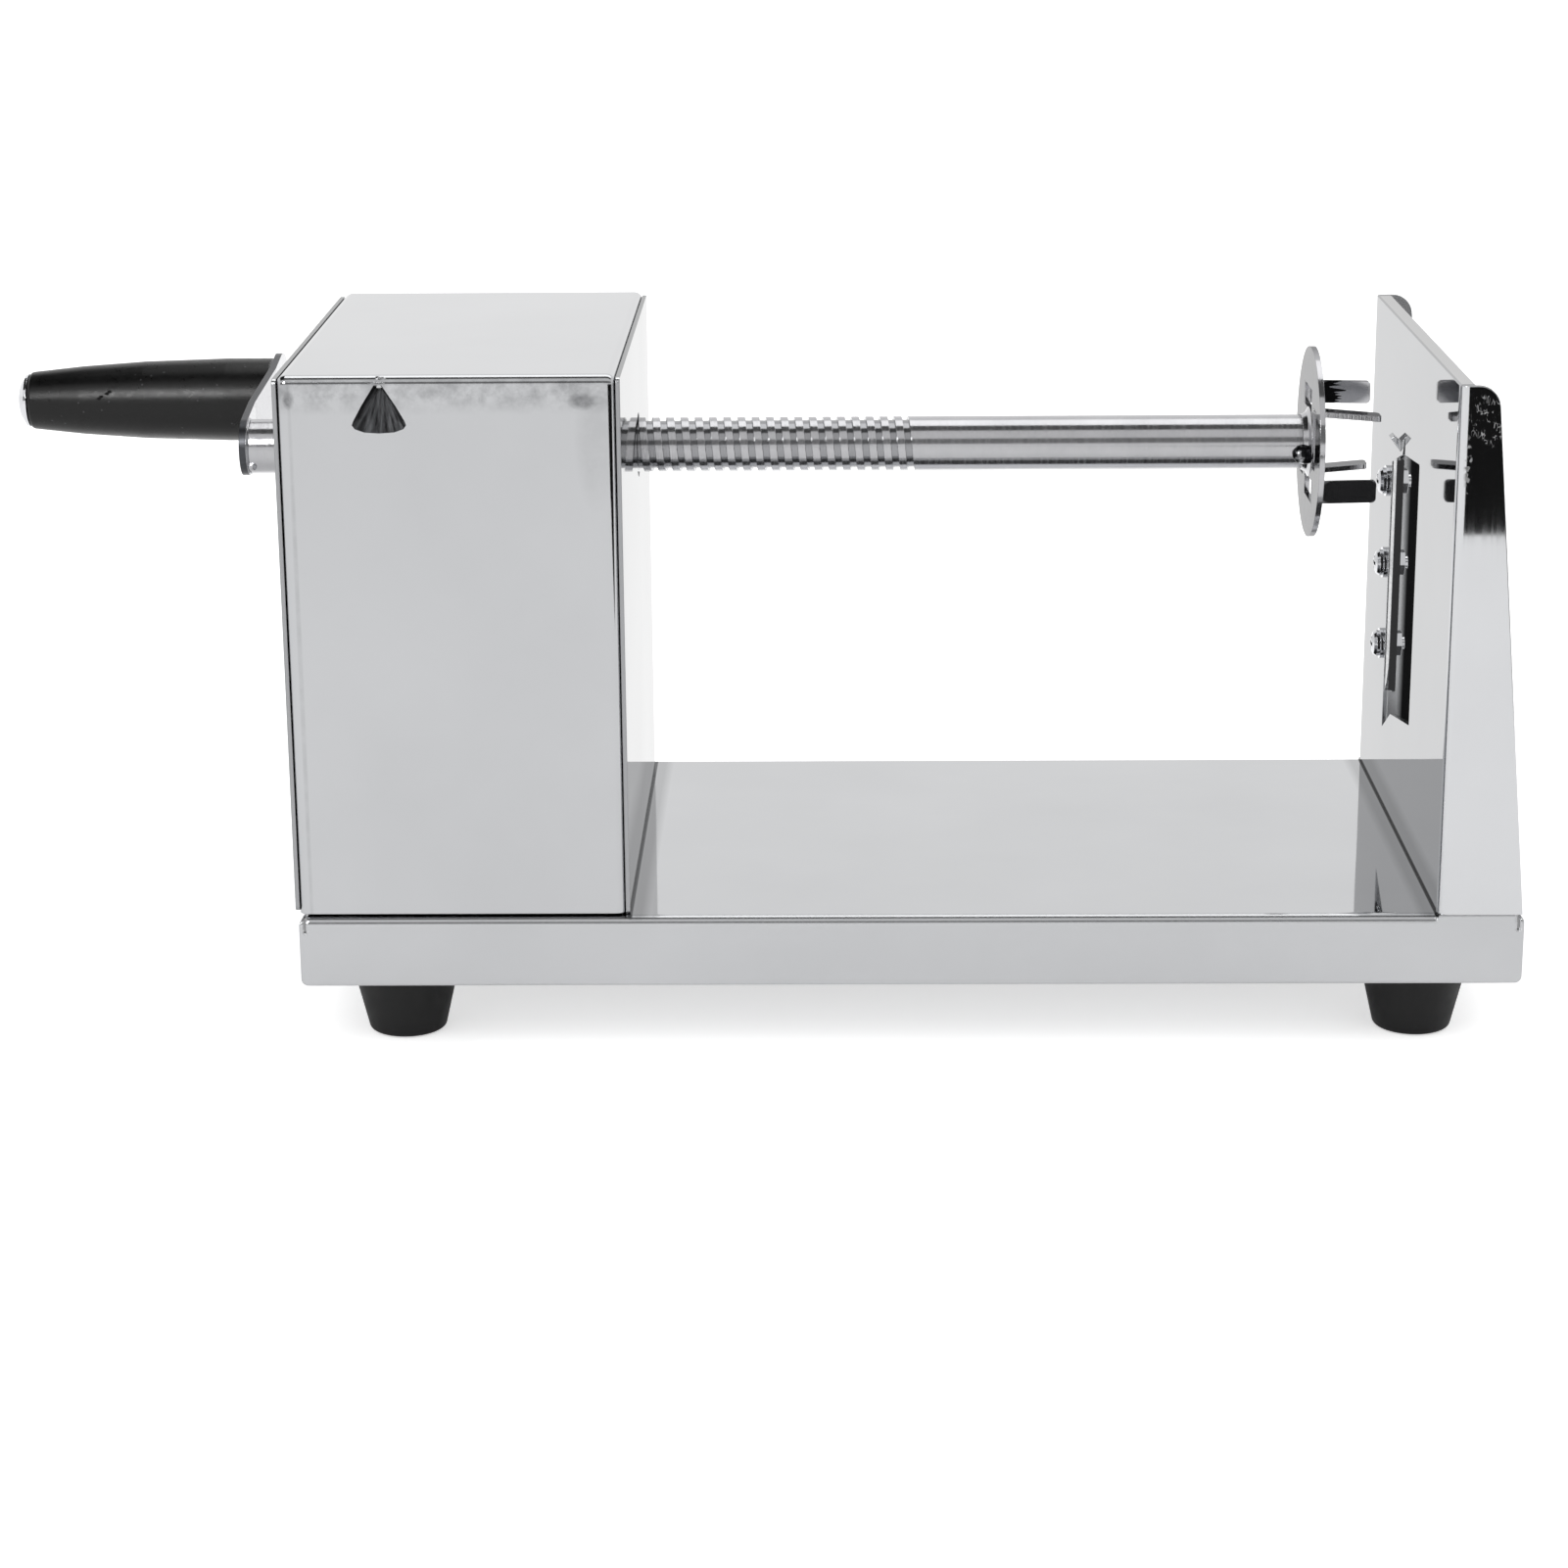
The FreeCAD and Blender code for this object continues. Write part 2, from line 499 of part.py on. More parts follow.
# the front and its two lips end a little above the tray
lift = new_sketch(shell, "lift", "XZ_Plane", "0 - " + sized("housing_front"))
draw_rectangle(lift, minus(sized("housing_left"), "1"), "-1", add(housing_right, "1"), sized("front_foot_gap"))
pocket(shell, lift, total("housing_bend", "housing_side_lip"), False)
# dent pressed into the front below its top bend: a cone that is deepest at the top and runs
# out in a rounded fan below; the sheet keeps its thickness behind it
dent_top = total("housing_height", "-housing_bend")
dent_fan = ((-0.14, 0.0), (0.14, 0.0), (0.62, 0.42), (0.94, 0.74), (1.0, 0.83), (0.9, 0.91), (0.55, 0.98),
            (0.0, 1.0), (-0.55, 0.98), (-0.9, 0.91), (-1.0, 0.83), (-0.94, 0.74), (-0.62, 0.42))
for name, kind, start, rise in (
        ("boss", "AdditiveLoft", total("housing_front", "housing_gauge"), "1.6"),
        ("hollow", "SubtractiveLoft", sized("housing_front"), "0")):
    ends = []
    for step, scale, depth in (("rim", 1.0, "0"), ("tip", 0.1, sized("dent_depth"))):
        fan = new_sketch(shell, "dent_%s_%s" % (name, step), "XZ_Plane", "0 - (%s)" % add(start, depth))
        draw_polygon(fan, [
            (add(sized("dent_along"), times(sized("dent_half_width"), scale * across)),
             add(minus(dent_top, times(sized("dent_length"), scale * down)), rise if down == 0.0 else "0"))
            for across, down in dent_fan])
        ends.append(fan)
    doc.recompute()
    before = shell.Shape.Volume
    dent = shell.newObject("PartDesign::" + kind, "dent_" + name)
    dent.Profile = ends[0]
    dent.Sections = ends[1:]
    dent.Ruled = True
    doc.recompute()
    if abs(shell.Shape.Volume - before) < 1e-6:
        raise RuntimeError("dent_" + name + " changes nothing")

# the walls lie on the outside of the lips; the left one ends above the tray, the right one stands on it
for name, shift, foot_gap in (("housing_left_wall", wall_left_outside, sized("wall_foot_gap")),
                              ("housing_right_wall", wall_right_inside, "0")):
    wall = new_body(name)
    sheet_outline = new_sketch(wall, "outline", "YZ_Plane", shift)
    draw_rectangle(sheet_outline, total("housing_front", "wall_edge_gap"), foot_gap,
                   minus(housing_back, sized("wall_edge_gap")), total("housing_height", "-wall_edge_gap"))
    draw_circle(sheet_outline, sized("axis_across"), sized("axis_height"), sized("wall_hole_radius"))
    pad(wall, sheet_outline, sized("wall_gauge"))
    round_edges(wall, times(sized("wall_gauge"), 1.3), lambda edge: runs_along(edge, along_x)
                and abs(middle(edge).y - number(sized("axis_across"))) > number(sized("wall_hole_radius")) + 1)

# ---------------------------------------------------------------- nut, follower and guide
bore = total("tube_radius", "running_clearance")
collar = on_axis("thread_nut")
section = new_sketch(collar, "section", "XZ_Plane")
draw_rectangle(section, wall_left_inside, bore, add(wall_left_inside, sized("nut_length")), sized("nut_radius"))
revolve(collar, section)
follower_hole = new_sketch(collar, "follower_hole", "XY_Plane", "0")
draw_circle(follower_hole, follower_along, "0", sized("follower_radius"))
pocket(collar, follower_hole, add(sized("nut_radius"), "1"), True)

follower = new_body("thread_follower", follower_along, sized("axis_across"), sized("axis_height"))
section = new_sketch(follower, "section", "XZ_Plane")
tip_bottom = total("tube_radius", "-follower_reach")
shank_bottom = add(sized("tube_radius"), sized("running_clearance"), "0.4")
head_bottom = sized("nut_radius")
draw_polygon(section, [
    ("0", tip_bottom), (sized("follower_tip_radius"), tip_bottom),
    (sized("follower_tip_radius"), shank_bottom), (sized("follower_radius"), shank_bottom),
    (sized("follower_radius"), head_bottom), (sized("follower_head_radius"), head_bottom),
    (sized("follower_head_radius"), add(head_bottom, sized("follower_head_height"))),
    ("0", add(head_bottom, sized("follower_head_height")))])
revolve(follower, section, "V_Axis")

guide = on_axis("guide_bush")
section = new_sketch(guide, "section", "XZ_Plane")
draw_rectangle(section, minus(wall_right_inside, sized("guide_length")), bore, wall_right_inside,
               sized("guide_radius"))
revolve(guide, section)

# ---------------------------------------------------------------- crank tube
tube = on_axis("crank_tube")
section = new_sketch(tube, "section", "XZ_Plane")
tube_bore = total("tube_radius", "-tube_wall")
draw_rectangle(section, tube_left, tube_bore, disc_left, sized("tube_radius"))
revolve(tube, section)
groove = new_sketch(tube, "groove", "XZ_Plane")
half_groove = times(sized("groove_width"), 0.5)
draw_rectangle(groove, minus(groove_start, half_groove), total("tube_radius", "-groove_depth"),
               add(groove_start, half_groove), total("tube_radius", "groove_depth"))
doc.recompute()
plain_volume = tube.Shape.Volume
helix = tube.newObject("PartDesign::SubtractiveHelix", "crank_tube_helical_groove")
helix.Profile = groove
helix.ReferenceAxis = (groove, ["H_Axis"])
helix.Mode = 0
helix.setExpression("Pitch", sized("groove_pitch"))
helix.setExpression("Height", minus(sized("groove_end"), groove_start))
helix.LeftHanded = False
helix.Reversed = False
doc.recompute()
if not tube.Shape.Volume < plain_volume - 1.0:
    raise RuntimeError("the helical groove removes nothing")

bush = on_axis("skewer_bush")
section = new_sketch(bush, "section", "XZ_Plane")
bush_right = minus(disc_left, sized("bush_gap"))
draw_rectangle(section, minus(bush_right, sized("bush_length")), sized("disc_hole_radius"), bush_right,
               minus(tube_bore, sized("running_clearance")))
revolve(bush, section)

# ---------------------------------------------------------------- pusher disc
disc = on_axis("pusher_disc")
blank = new_sketch(disc, "blank", "YZ_Plane", disc_left)
draw_circle(blank, "0", "0", sized("disc_radius"))
draw_circle(blank, "0", "0", sized("disc_hole_radius"))
pad(disc, blank, sized("disc_gauge"))
window = new_sketch(disc, "window", "YZ_Plane", disc_left)
half_prong = times(sized("prong_width"), 0.5)
draw_rectangle(window, minus(sized("prong_bend"), sized("prong_length")), minus(sized("prong_offset"), half_prong),
               sized("prong_bend"), add(sized("prong_offset"), half_prong))
window_cut = pocket(disc, window, sized("disc_gauge"), True)
prong = new_sketch(disc, "prong", "XY_Plane", minus(sized("prong_offset"), half_prong))
prong_inside = minus(sized("prong_bend"), sized("disc_gauge"))
draw_polygon(prong, [
    (disc_left, prong_inside), (disc_left, times(add(sized("prong_bend"), prong_inside), 0.5)),
    (add(disc_left, times(sized("disc_gauge"), 0.5)), sized("prong_bend")),
    (add(disc_left, sized("disc_gauge")), sized("prong_bend")),
    (prong_tip, minus(sized("prong_bend"), sized("prong_lean"))),
    (prong_tip, minus(prong_inside, sized("prong_lean"))),
    (add(disc_left, sized("disc_gauge")), prong_inside)])
prong_pad = pad(disc, prong, sized("prong_width"))
pattern = disc.newObject("PartDesign::PolarPattern", "pusher_disc_prongs")
pattern.Originals = [window_cut, prong_pad]
pattern.Axis = (origin_plane(disc, "X_Axis"), [""])
pattern.Angle = 360.0
pattern.Occurrences = 4
disc.Tip = pattern
doc.recompute()
round_edges(disc, sized("prong_corner"), lambda edge: close(middle(edge).x,
            prong_tip) and abs(edge.Length - number(sized("disc_gauge"))) < 0.01)

disc_weld = on_axis("disc_weld")
section = new_sketch(disc_weld, "section", "XZ_Plane")
draw_polygon(section, [
    (minus(disc_left, sized("weld_leg")), sized("tube_radius")), (disc_left, sized("tube_radius")),
    (disc_left, total("tube_radius", "weld_leg")),
    (minus(disc_left, times(sized("weld_leg"), 0.35)), add(sized("tube_radius"), times(sized("weld_leg"), 0.35)))])
revolve(disc_weld, section)

# ---------------------------------------------------------------- crank arm
arm = on_axis("crank_arm")
side_view = new_sketch(arm, "side_view", "XY_Plane", times(sized("arm_far_radius"), -1.5))
arm_near, arm_far = times(sized("arm_half_width"), -1), add(sized("crank_back"), sized("arm_far_radius"))
draw_polygon(side_view, [
    (arm_left, arm_near), (tube_left, arm_near), (tube_left, sized("arm_set_start")),
    (arm_far_right, sized("arm_set_end")), (arm_far_right, arm_far), (arm_far_left, arm_far),
    (arm_far_left, sized("arm_set_end")), (arm_left, sized("arm_set_start"))])
pad(arm, side_view, times(sized("arm_far_radius"), 3))
# its outline is a rounded taper from the tube to the wide end behind the grip
trim = new_sketch(arm, "trim", "YZ_Plane", minus(arm_left, "1"))
reach, rise = number(sized("crank_back")), number(sized("crank_rise"))
near_radius, far_radius = number(sized("arm_half_width")), number(sized("arm_far_radius"))
span = math.hypot(reach, rise)
lean = math.atan2(rise, reach)
flare = math.asin((far_radius - near_radius) / span)
near, far = Vector(0, 0, 0), Vector(reach, rise, 0)
upper = Vector(math.cos(lean + math.pi / 2 + flare), math.sin(lean + math.pi / 2 + flare), 0)
lower = Vector(math.cos(lean - math.pi / 2 - flare), math.sin(lean - math.pi / 2 - flare), 0)
trim.addGeometry(Part.ArcOfCircle(Part.Circle(near, Vector(0, 0, 1), near_radius),
                                  lean + math.pi / 2 + flare, lean + 3 * math.pi / 2 - flare), False)
trim.addGeometry(Part.LineSegment(near + lower * near_radius, far + lower * far_radius), False)
trim.addGeometry(Part.ArcOfCircle(Part.Circle(far, Vector(0, 0, 1), far_radius),
                                  lean - math.pi / 2 - flare, lean + math.pi / 2 + flare), False)
trim.addGeometry(Part.LineSegment(far + upper * far_radius, near + upper * near_radius), False)
for first, first_end, second, second_end in ((0, 2, 1, 1), (1, 2, 2, 1), (2, 2, 3, 1), (3, 2, 0, 1)):
    trim.addConstraint(Sketcher.Constraint("Tangent", first, first_end, second, second_end))
pin_point(trim, 0, 3, "0", "0")
pin_point(trim, 2, 3, sized("crank_back"), sized("crank_rise"))
for geometry, radius in ((0, "arm_half_width"), (2, "arm_far_radius")):
    fixed = trim.addConstraint(Sketcher.Constraint("Radius", geometry, number(sized(radius))))
    trim.setExpression("Constraints[%d]" % fixed, sized(radius))
outside = times(sized("arm_far_radius"), 3)
draw_rectangle(trim, times(sized("arm_far_radius"), -3), times(sized("arm_far_radius"), -3),
               add(arm_far, outside), outside)
pocket(arm, trim, add(sized("arm_set"), sized("arm_gauge"), "3"), True)
hole = new_sketch(arm, "hole", "YZ_Plane", minus(arm_far_left, "1"))
draw_circle(hole, sized("crank_back"), sized("crank_rise"), sized("spindle_neck_radius"))
pocket(arm, hole, add(sized("arm_gauge"), "2"), True)

arm_weld = on_axis("arm_weld")
section = new_sketch(arm_weld, "section", "XZ_Plane")
draw_polygon(section, [
    (tube_left, sized("tube_radius")), (add(tube_left, sized("arm_weld_leg")), sized("tube_radius")),
    (add(tube_left, times(sized("arm_weld_leg"), 0.35)), add(sized("tube_radius"), times(sized("arm_weld_leg"), 0.3))),
    (tube_left, add(sized("tube_radius"), minus(sized("arm_half_width"), sized("tube_radius"))))])
revolve(arm_weld, section)

# ---------------------------------------------------------------- handle
spindle = on_spindle("handle_spindle")
section = new_sketch(spindle, "section", "XZ_Plane")
draw_polygon(section, [
    (cap_right, "0"), (cap_right, sized("spindle_radius")), (arm_far_left, sized("spindle_radius")),
    (arm_far_left, sized("spindle_neck_radius")), (arm_far_right, sized("spindle_neck_radius")),
    (arm_far_right, sized("rivet_radius")),
    (add(arm_far_right, times(sized("rivet_height"), 0.6)), sized("rivet_radius")),
    (add(arm_far_right, sized("rivet_height")), times(sized("rivet_radius"), 0.6)),
    (add(arm_far_right, sized("rivet_height")), "0")])
revolve(spindle, section)

handle_washer = on_spindle("handle_washer")
section = new_sketch(handle_washer, "section", "XZ_Plane")
draw_rectangle(section, minus(arm_far_left, sized("handle_washer_gauge")),
               add(sized("spindle_radius"), "0.1"), arm_far_left, sized("handle_washer_radius"))
revolve(handle_washer, section)

grip = on_spindle("handle_grip")
section = new_sketch(grip, "section", "XZ_Plane")
grip_bore = total("spindle_radius", "running_clearance")
draw_polygon(section, [
    (grip_right, grip_bore), (grip_right, sized("grip_radius")),
    (minus(grip_right, times(sized("grip_length"), 0.18)), sized("grip_radius")),
    (minus(grip_right, times(sized("grip_length"), 0.52)), sized("grip_waist_radius")),
    (minus(grip_right, times(sized("grip_length"), 0.78)), sized("grip_shoulder_radius")),
    (grip_left, sized("grip_end_radius")), (grip_left, grip_bore)])
revolve(grip, section)
round_edges(grip, sized("grip_round"), lambda edge: close(middle(edge).x, grip_left)
            and edge.Curve.TypeId == "Part::GeomCircle"
            and edge.Curve.Radius > number(sized("spindle_radius")) + 1)

cap = on_spindle("handle_cap")
section = new_sketch(cap, "section", "XZ_Plane")
draw_polygon(section, [
    (cap_right, "0"), (cap_left, "0"), (add(cap_left, times(sized("cap_height"), 0.08)), times(sized("cap_radius"), 0.35)),
    (add(cap_left, times(sized("cap_height"), 0.3)), times(sized("cap_radius"), 0.68)),
    (minus(cap_right, sized("cap_rim")), times(sized("cap_radius"), 0.97)), (cap_right, sized("cap_radius"))])
revolve(cap, section)
round_edges(cap, sized("cap_blend"), lambda edge: edge.Curve.TypeId == "Part::GeomCircle"
            and number(cap_left) + 0.1 < middle(edge).x < number(cap_right) - 1.2)

# ---------------------------------------------------------------- checks and export
doc.recompute()
for item in doc.Objects:
    if "Invalid" in item.State or "Error" in item.State:
        raise RuntimeError("failed: " + item.Name)
for item in made_parts:
    if item.Shape.isNull() or not item.Shape.isValid() or len(item.Shape.Solids) != 1:
        raise RuntimeError("bad shape: " + item.Label)
for item in made_parts:
    item.Shape.exportStep("parts/%s.step" % item.Label)
    print("%-24s %10.1f mm3" % (item.Label, item.Shape.Volume))
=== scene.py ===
import math
import bpy
from mathutils import Matrix, Vector


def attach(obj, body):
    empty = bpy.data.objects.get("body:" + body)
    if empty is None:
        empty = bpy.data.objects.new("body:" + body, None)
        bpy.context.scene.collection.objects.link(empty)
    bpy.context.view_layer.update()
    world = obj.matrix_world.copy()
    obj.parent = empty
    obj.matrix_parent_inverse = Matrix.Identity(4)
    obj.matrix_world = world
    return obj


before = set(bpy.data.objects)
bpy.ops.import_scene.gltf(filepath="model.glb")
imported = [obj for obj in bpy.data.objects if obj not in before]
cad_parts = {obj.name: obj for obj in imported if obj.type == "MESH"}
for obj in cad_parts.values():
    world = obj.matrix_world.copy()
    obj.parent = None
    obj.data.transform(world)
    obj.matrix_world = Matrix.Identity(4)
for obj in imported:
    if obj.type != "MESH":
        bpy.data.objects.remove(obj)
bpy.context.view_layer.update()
scene = bpy.context.scene
for item in list(bpy.context.selected_objects):
    item.select_set(False)
print("frame loaded:", len(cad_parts), "pieces")


def hexColour(text):
    # sRGB hex to the linear values that the shaders take
    parts = [int(text[i:i + 2], 16) / 255 for i in (1, 3, 5)]
    linear = [c / 12.92 if c <= 0.04045 else ((c + 0.055) / 1.055) ** 2.4 for c in parts]
    return tuple(linear) + (1.0,)


def perMetre(width):
    # scale of a pattern whose cells are that many millimetres wide
    return 1000 / width


def addNode(tree, kind, inputs=None, **settings):
    made = tree.nodes.new(kind)
    for name, value in settings.items():
        setattr(made, name, value)
    for socket, value in (inputs or {}).items():
        if isinstance(value, bpy.types.NodeSocket):
            tree.links.new(value, made.inputs[socket])
        else:
            made.inputs[socket].default_value = value
    return made


def newMaterial(name):
    # an empty node tree with a principled shader already wired to the output
    material = bpy.data.materials.new(name)
    material.use_nodes = True
    tree = material.node_tree
    tree.nodes.clear()
    shader = addNode(tree, "ShaderNodeBsdfPrincipled")
    addNode(tree, "ShaderNodeOutputMaterial", {"Surface": shader.outputs[0]})
    return material, tree, shader


def straightRays(tree):
    # 1 for what the camera, a mirror or a glass sees, 0 for the light that falls on the object
    rays = addNode(tree, "ShaderNodeLightPath")
    seen = addNode(tree, "ShaderNodeMath", {
        0: rays.outputs["Is Camera Ray"], 1: rays.outputs["Is Glossy Ray"]}, operation="MAXIMUM")
    return addNode(tree, "ShaderNodeMath", {
        0: seen.outputs[0], 1: rays.outputs["Is Transmission Ray"]}, operation="MAXIMUM").outputs[0]


def normalParts(tree):
    # the surface's own direction, as x, y and z
    normal = addNode(tree, "ShaderNodeTexCoord").outputs["Normal"]
    return addNode(tree, "ShaderNodeSeparateXYZ", {0: normal}).outputs


def patchMask(tree, place, centre, size, soft=0.25):
    # 1 inside an ellipsoid of that centre and half size in metres, 0 outside; None isn't limited
    scale = [0.0 if side is None else 1 / side for side in size]
    local = addNode(tree, "ShaderNodeMapping", {
        "Vector": place, "Scale": scale, "Location": [-c * k for c, k in zip(centre, scale)]})
    far = addNode(tree, "ShaderNodeVectorMath", {0: local.outputs[0]}, operation="LENGTH")
    return addNode(tree, "ShaderNodeMapRange", {
        "Value": far.outputs["Value"], "From Min": 1 - soft, "From Max": 1 + soft,
        "To Min": 1.0, "To Max": 0.0}).outputs[0]


def layOver(tree, shader, masks, colour, roughness):
    # a local change of finish: colour and gloss are mixed in where every mask is 1
    mask = masks[0]
    for other in masks[1:]:
        mask = addNode(tree, "ShaderNodeMath", {0: mask, 1: other}, operation="MULTIPLY").outputs[0]
    value = colour if isinstance(colour, bpy.types.NodeSocket) else hexColour(colour)
    tone = addNode(tree, "ShaderNodeMix", {
        0: mask, 6: shader.inputs["Base Color"].links[0].from_socket, 7: value}, data_type="RGBA")
    rough = addNode(tree, "ShaderNodeMix", {
        0: mask, 2: shader.inputs["Roughness"].links[0].from_socket, 3: roughness},
        data_type="FLOAT")
    tree.links.new(tone.outputs[2], shader.inputs["Base Color"])
    tree.links.new(rough.outputs[0], shader.inputs["Roughness"])


edgeTurn = (0.55, 0.75)     # part of the normal over which a cut edge turns into skin


def shearedEdges(tree, shader, thickness, colour, roughness=0.32):
    # the cut edges of a sheet are rougher and darker than its skin
    across = addNode(tree, "ShaderNodeMath", {0: normalParts(tree)["xyz".index(thickness)]},
                     operation="ABSOLUTE")
    mask = addNode(tree, "ShaderNodeMapRange", {
        "Value": across.outputs[0], "From Min": edgeTurn[0], "From Max": edgeTurn[1],
        "To Min": 1.0, "To Max": 0.0})
    layOver(tree, shader, [mask.outputs[0]], colour, roughness)


sheetFinish = {
    "colour": "#C6C7C9", "dull": "#BDBEC0", "edgeTint": "#FFFFFF", "roughness": (0.02, 0.06),
    "grainWidth": 0.9,      # mm, rolling grain, about five times its real width so that it shows
    "grainLength": 90,      # times its width
    "grainDepth": 0.00004,  # m
    "cloudWidth": 45.0,     # mm, soft handling clouds
    "waveWidth": 60.0,      # mm, flatness of thin sheet
    "waveDepth": 0.0012,    # m
    "rounding": 0.0004,     # m, softness of bends and edges
}


def rolledSheet(name, along, **changes):
    # cold rolled stainless sheet with its bright annealed skin: a grey mirror with a faint grain
    finish = dict(sheetFinish, **changes)
    material, tree, shader = newMaterial(name)
    place = addNode(tree, "ShaderNodeTexCoord").outputs["Object"]
    fine = perMetre(finish["grainWidth"])
    stretch = [fine / finish["grainLength"] if axis == along else fine for axis in "xyz"]
    grainPlace = addNode(tree, "ShaderNodeMapping", {"Vector": place, "Scale": stretch})
    grain = addNode(tree, "ShaderNodeTexNoise", {
        "Vector": grainPlace.outputs[0], "Scale": 1.0, "Detail": 2.0})
    clouds = addNode(tree, "ShaderNodeTexNoise", {
        "Vector": place, "Scale": perMetre(finish["cloudWidth"]), "Detail": 3.0, "Roughness": 0.55})
    wave = addNode(tree, "ShaderNodeTexNoise", {
        "Vector": place, "Scale": perMetre(finish["waveWidth"]), "Detail": 0.0})
    tone = addNode(tree, "ShaderNodeMix", {
        0: clouds.outputs[0], 6: hexColour(finish["colour"]), 7: hexColour(finish["dull"])},
        data_type="RGBA")
    spread = addNode(tree, "ShaderNodeMath", {0: clouds.outputs[0], 1: grain.outputs[0]},
                     operation="MULTIPLY")
    rough = addNode(tree, "ShaderNodeMapRange", {
        "Value": spread.outputs[0], "From Min": 0.1, "From Max": 0.45,
        "To Min": finish["roughness"][0], "To Max": finish["roughness"][1]})
    soft = addNode(tree, "ShaderNodeBevel", {"Radius": finish["rounding"]}, samples=6)
    ripple = addNode(tree, "ShaderNodeBump", {
        "Height": wave.outputs[0], "Strength": 0.12, "Distance": finish["waveDepth"],
        "Normal": soft.outputs[0]})
    lines = addNode(tree, "ShaderNodeBump", {
        "Height": grain.outputs[0], "Strength": 0.05, "Distance": finish["grainDepth"],
        "Normal": ripple.outputs[0]})
    tree.links.new(tone.outputs[2], shader.inputs["Base Color"])
    tree.links.new(rough.outputs[0], shader.inputs["Roughness"])
    tree.links.new(lines.outputs[0], shader.inputs["Normal"])
    shader.inputs["Metallic"].default_value = 1.0
    shader.inputs["Specular Tint"].default_value = hexColour(finish["edgeTint"])
    return material, tree, shader, place


turnedFinish = {
    "colour": "#C4C4C6", "dull": "#A9A9AC", "roughness": (0.10, 0.24), "around": True,
    "scratchWidth": 0.5,        # mm, polishing scratches that run round the tube
    "scratchLength": 9,         # times their width
    "scratchDepth": 0.00005,    # m
    "stains": 70.0,             # per metre
    "rounding": 0.00025,        # m
}


def polishedTube(name, **changes):
    # drawn stainless tube, belt polished: bright bands with a fine scratched grain
    finish = dict(turnedFinish, **changes)
    material, tree, shader = newMaterial(name)
    place = addNode(tree, "ShaderNodeTexCoord").outputs["Object"]
    fine = perMetre(finish["scratchWidth"])
    slow = fine / finish["scratchLength"]
    scale = (fine, slow, slow) if finish["around"] else (slow, fine, fine)
    belt = addNode(tree, "ShaderNodeMapping", {"Vector": place, "Scale": scale})
    scratch = addNode(tree, "ShaderNodeTexNoise", {
        "Vector": belt.outputs[0], "Scale": 1.0, "Detail": 3.0})
    stain = addNode(tree, "ShaderNodeTexNoise", {
        "Vector": place, "Scale": finish["stains"], "Detail": 5.0, "Roughness": 0.65})
    tone = addNode(tree, "ShaderNodeMix", {
        0: stain.outputs[0], 6: hexColour(finish["colour"]), 7: hexColour(finish["dull"])},
        data_type="RGBA")
    rough = addNode(tree, "ShaderNodeMapRange", {
        "Value": scratch.outputs[0], "From Min": 0.3, "From Max": 0.7,
        "To Min": finish["roughness"][0], "To Max": finish["roughness"][1]})
    soft = addNode(tree, "ShaderNodeBevel", {"Radius": finish["rounding"]}, samples=6)
    lines = addNode(tree, "ShaderNodeBump", {
        "Height": scratch.outputs[0], "Strength": 0.35, "Distance": finish["scratchDepth"],
        "Normal": soft.outputs[0]})
    tree.links.new(tone.outputs[2], shader.inputs["Base Color"])
    tree.links.new(rough.outputs[0], shader.inputs["Roughness"])
    tree.links.new(lines.outputs[0], shader.inputs["Normal"])
    shader.inputs["Metallic"].default_value = 1.0
    return material, tree, shader, place


bladeFinish = {
    "colour": "#9B9C9E", "flat": "#D2D3D5", "roughness": (0.16, 0.34),
    # the step's colour is painted shade
    "step": ("#2E2E2F", 0.3),   # colour and roughness
    "grindWidth": 0.45,         # mm
    "grindLength": 12,          # times its width
    "grindDepth": 0.00006,      # m
    # places in y of the step behind the honed edge, and of the flat behind the step
    "stepPlace": 0.0265, "stepHalf": 0.0013, "flatPlace": 0.0285,   # m
}


def groundBlade(name):
    # ground cutlery steel: upright grinding lines that scatter the light along the edge
    material, tree, shader = newMaterial(name)
    place = addNode(tree, "ShaderNodeTexCoord").outputs["Object"]
    fine = perMetre(bladeFinish["grindWidth"])
    slow = fine / bladeFinish["grindLength"]
    ground = addNode(tree, "ShaderNodeMapping", {"Vector": place, "Scale": (slow, slow, fine)})
    lines = addNode(tree, "ShaderNodeTexNoise", {
        "Vector": ground.outputs[0], "Scale": 1.0, "Detail": 2.0})
    rough = addNode(tree, "ShaderNodeMapRange", {
        "Value": lines.outputs[0], "From Min": 0.3, "From Max": 0.7,
        "To Min": bladeFinish["roughness"][0], "To Max": bladeFinish["roughness"][1]})
    cut = addNode(tree, "ShaderNodeBump", {
        "Height": lines.outputs[0], "Strength": 0.4, "Distance": bladeFinish["grindDepth"]})
    across = addNode(tree, "ShaderNodeSeparateXYZ", {0: place}).outputs[1]
    flat = addNode(tree, "ShaderNodeMath", {0: across, 1: bladeFinish["flatPlace"]},
                   operation="GREATER_THAN")
    tone = addNode(tree, "ShaderNodeMix", {
        0: flat.outputs[0], 6: hexColour(bladeFinish["colour"]), 7: hexColour(bladeFinish["flat"])},
        data_type="RGBA")
    shader.inputs["Metallic"].default_value = 1.0
    tree.links.new(tone.outputs[2], shader.inputs["Base Color"])
    tree.links.new(rough.outputs[0], shader.inputs["Roughness"])
    tree.links.new(cut.outputs[0], shader.inputs["Normal"])
    # the step behind the honed edge is painted dark as shade
    step = patchMask(tree, place, (0, bladeFinish["stepPlace"], 0),
                     (None, bladeFinish["stepHalf"], None))
    layOver(tree, shader, [step], *bladeFinish["step"])
    return material


platedFinish = {
    "colour": "#E2E3E6", "roughness": (0.03, 0.12),
    "cloudWidth": 6.0,      # mm
    "rounding": 0.0002,     # m
}


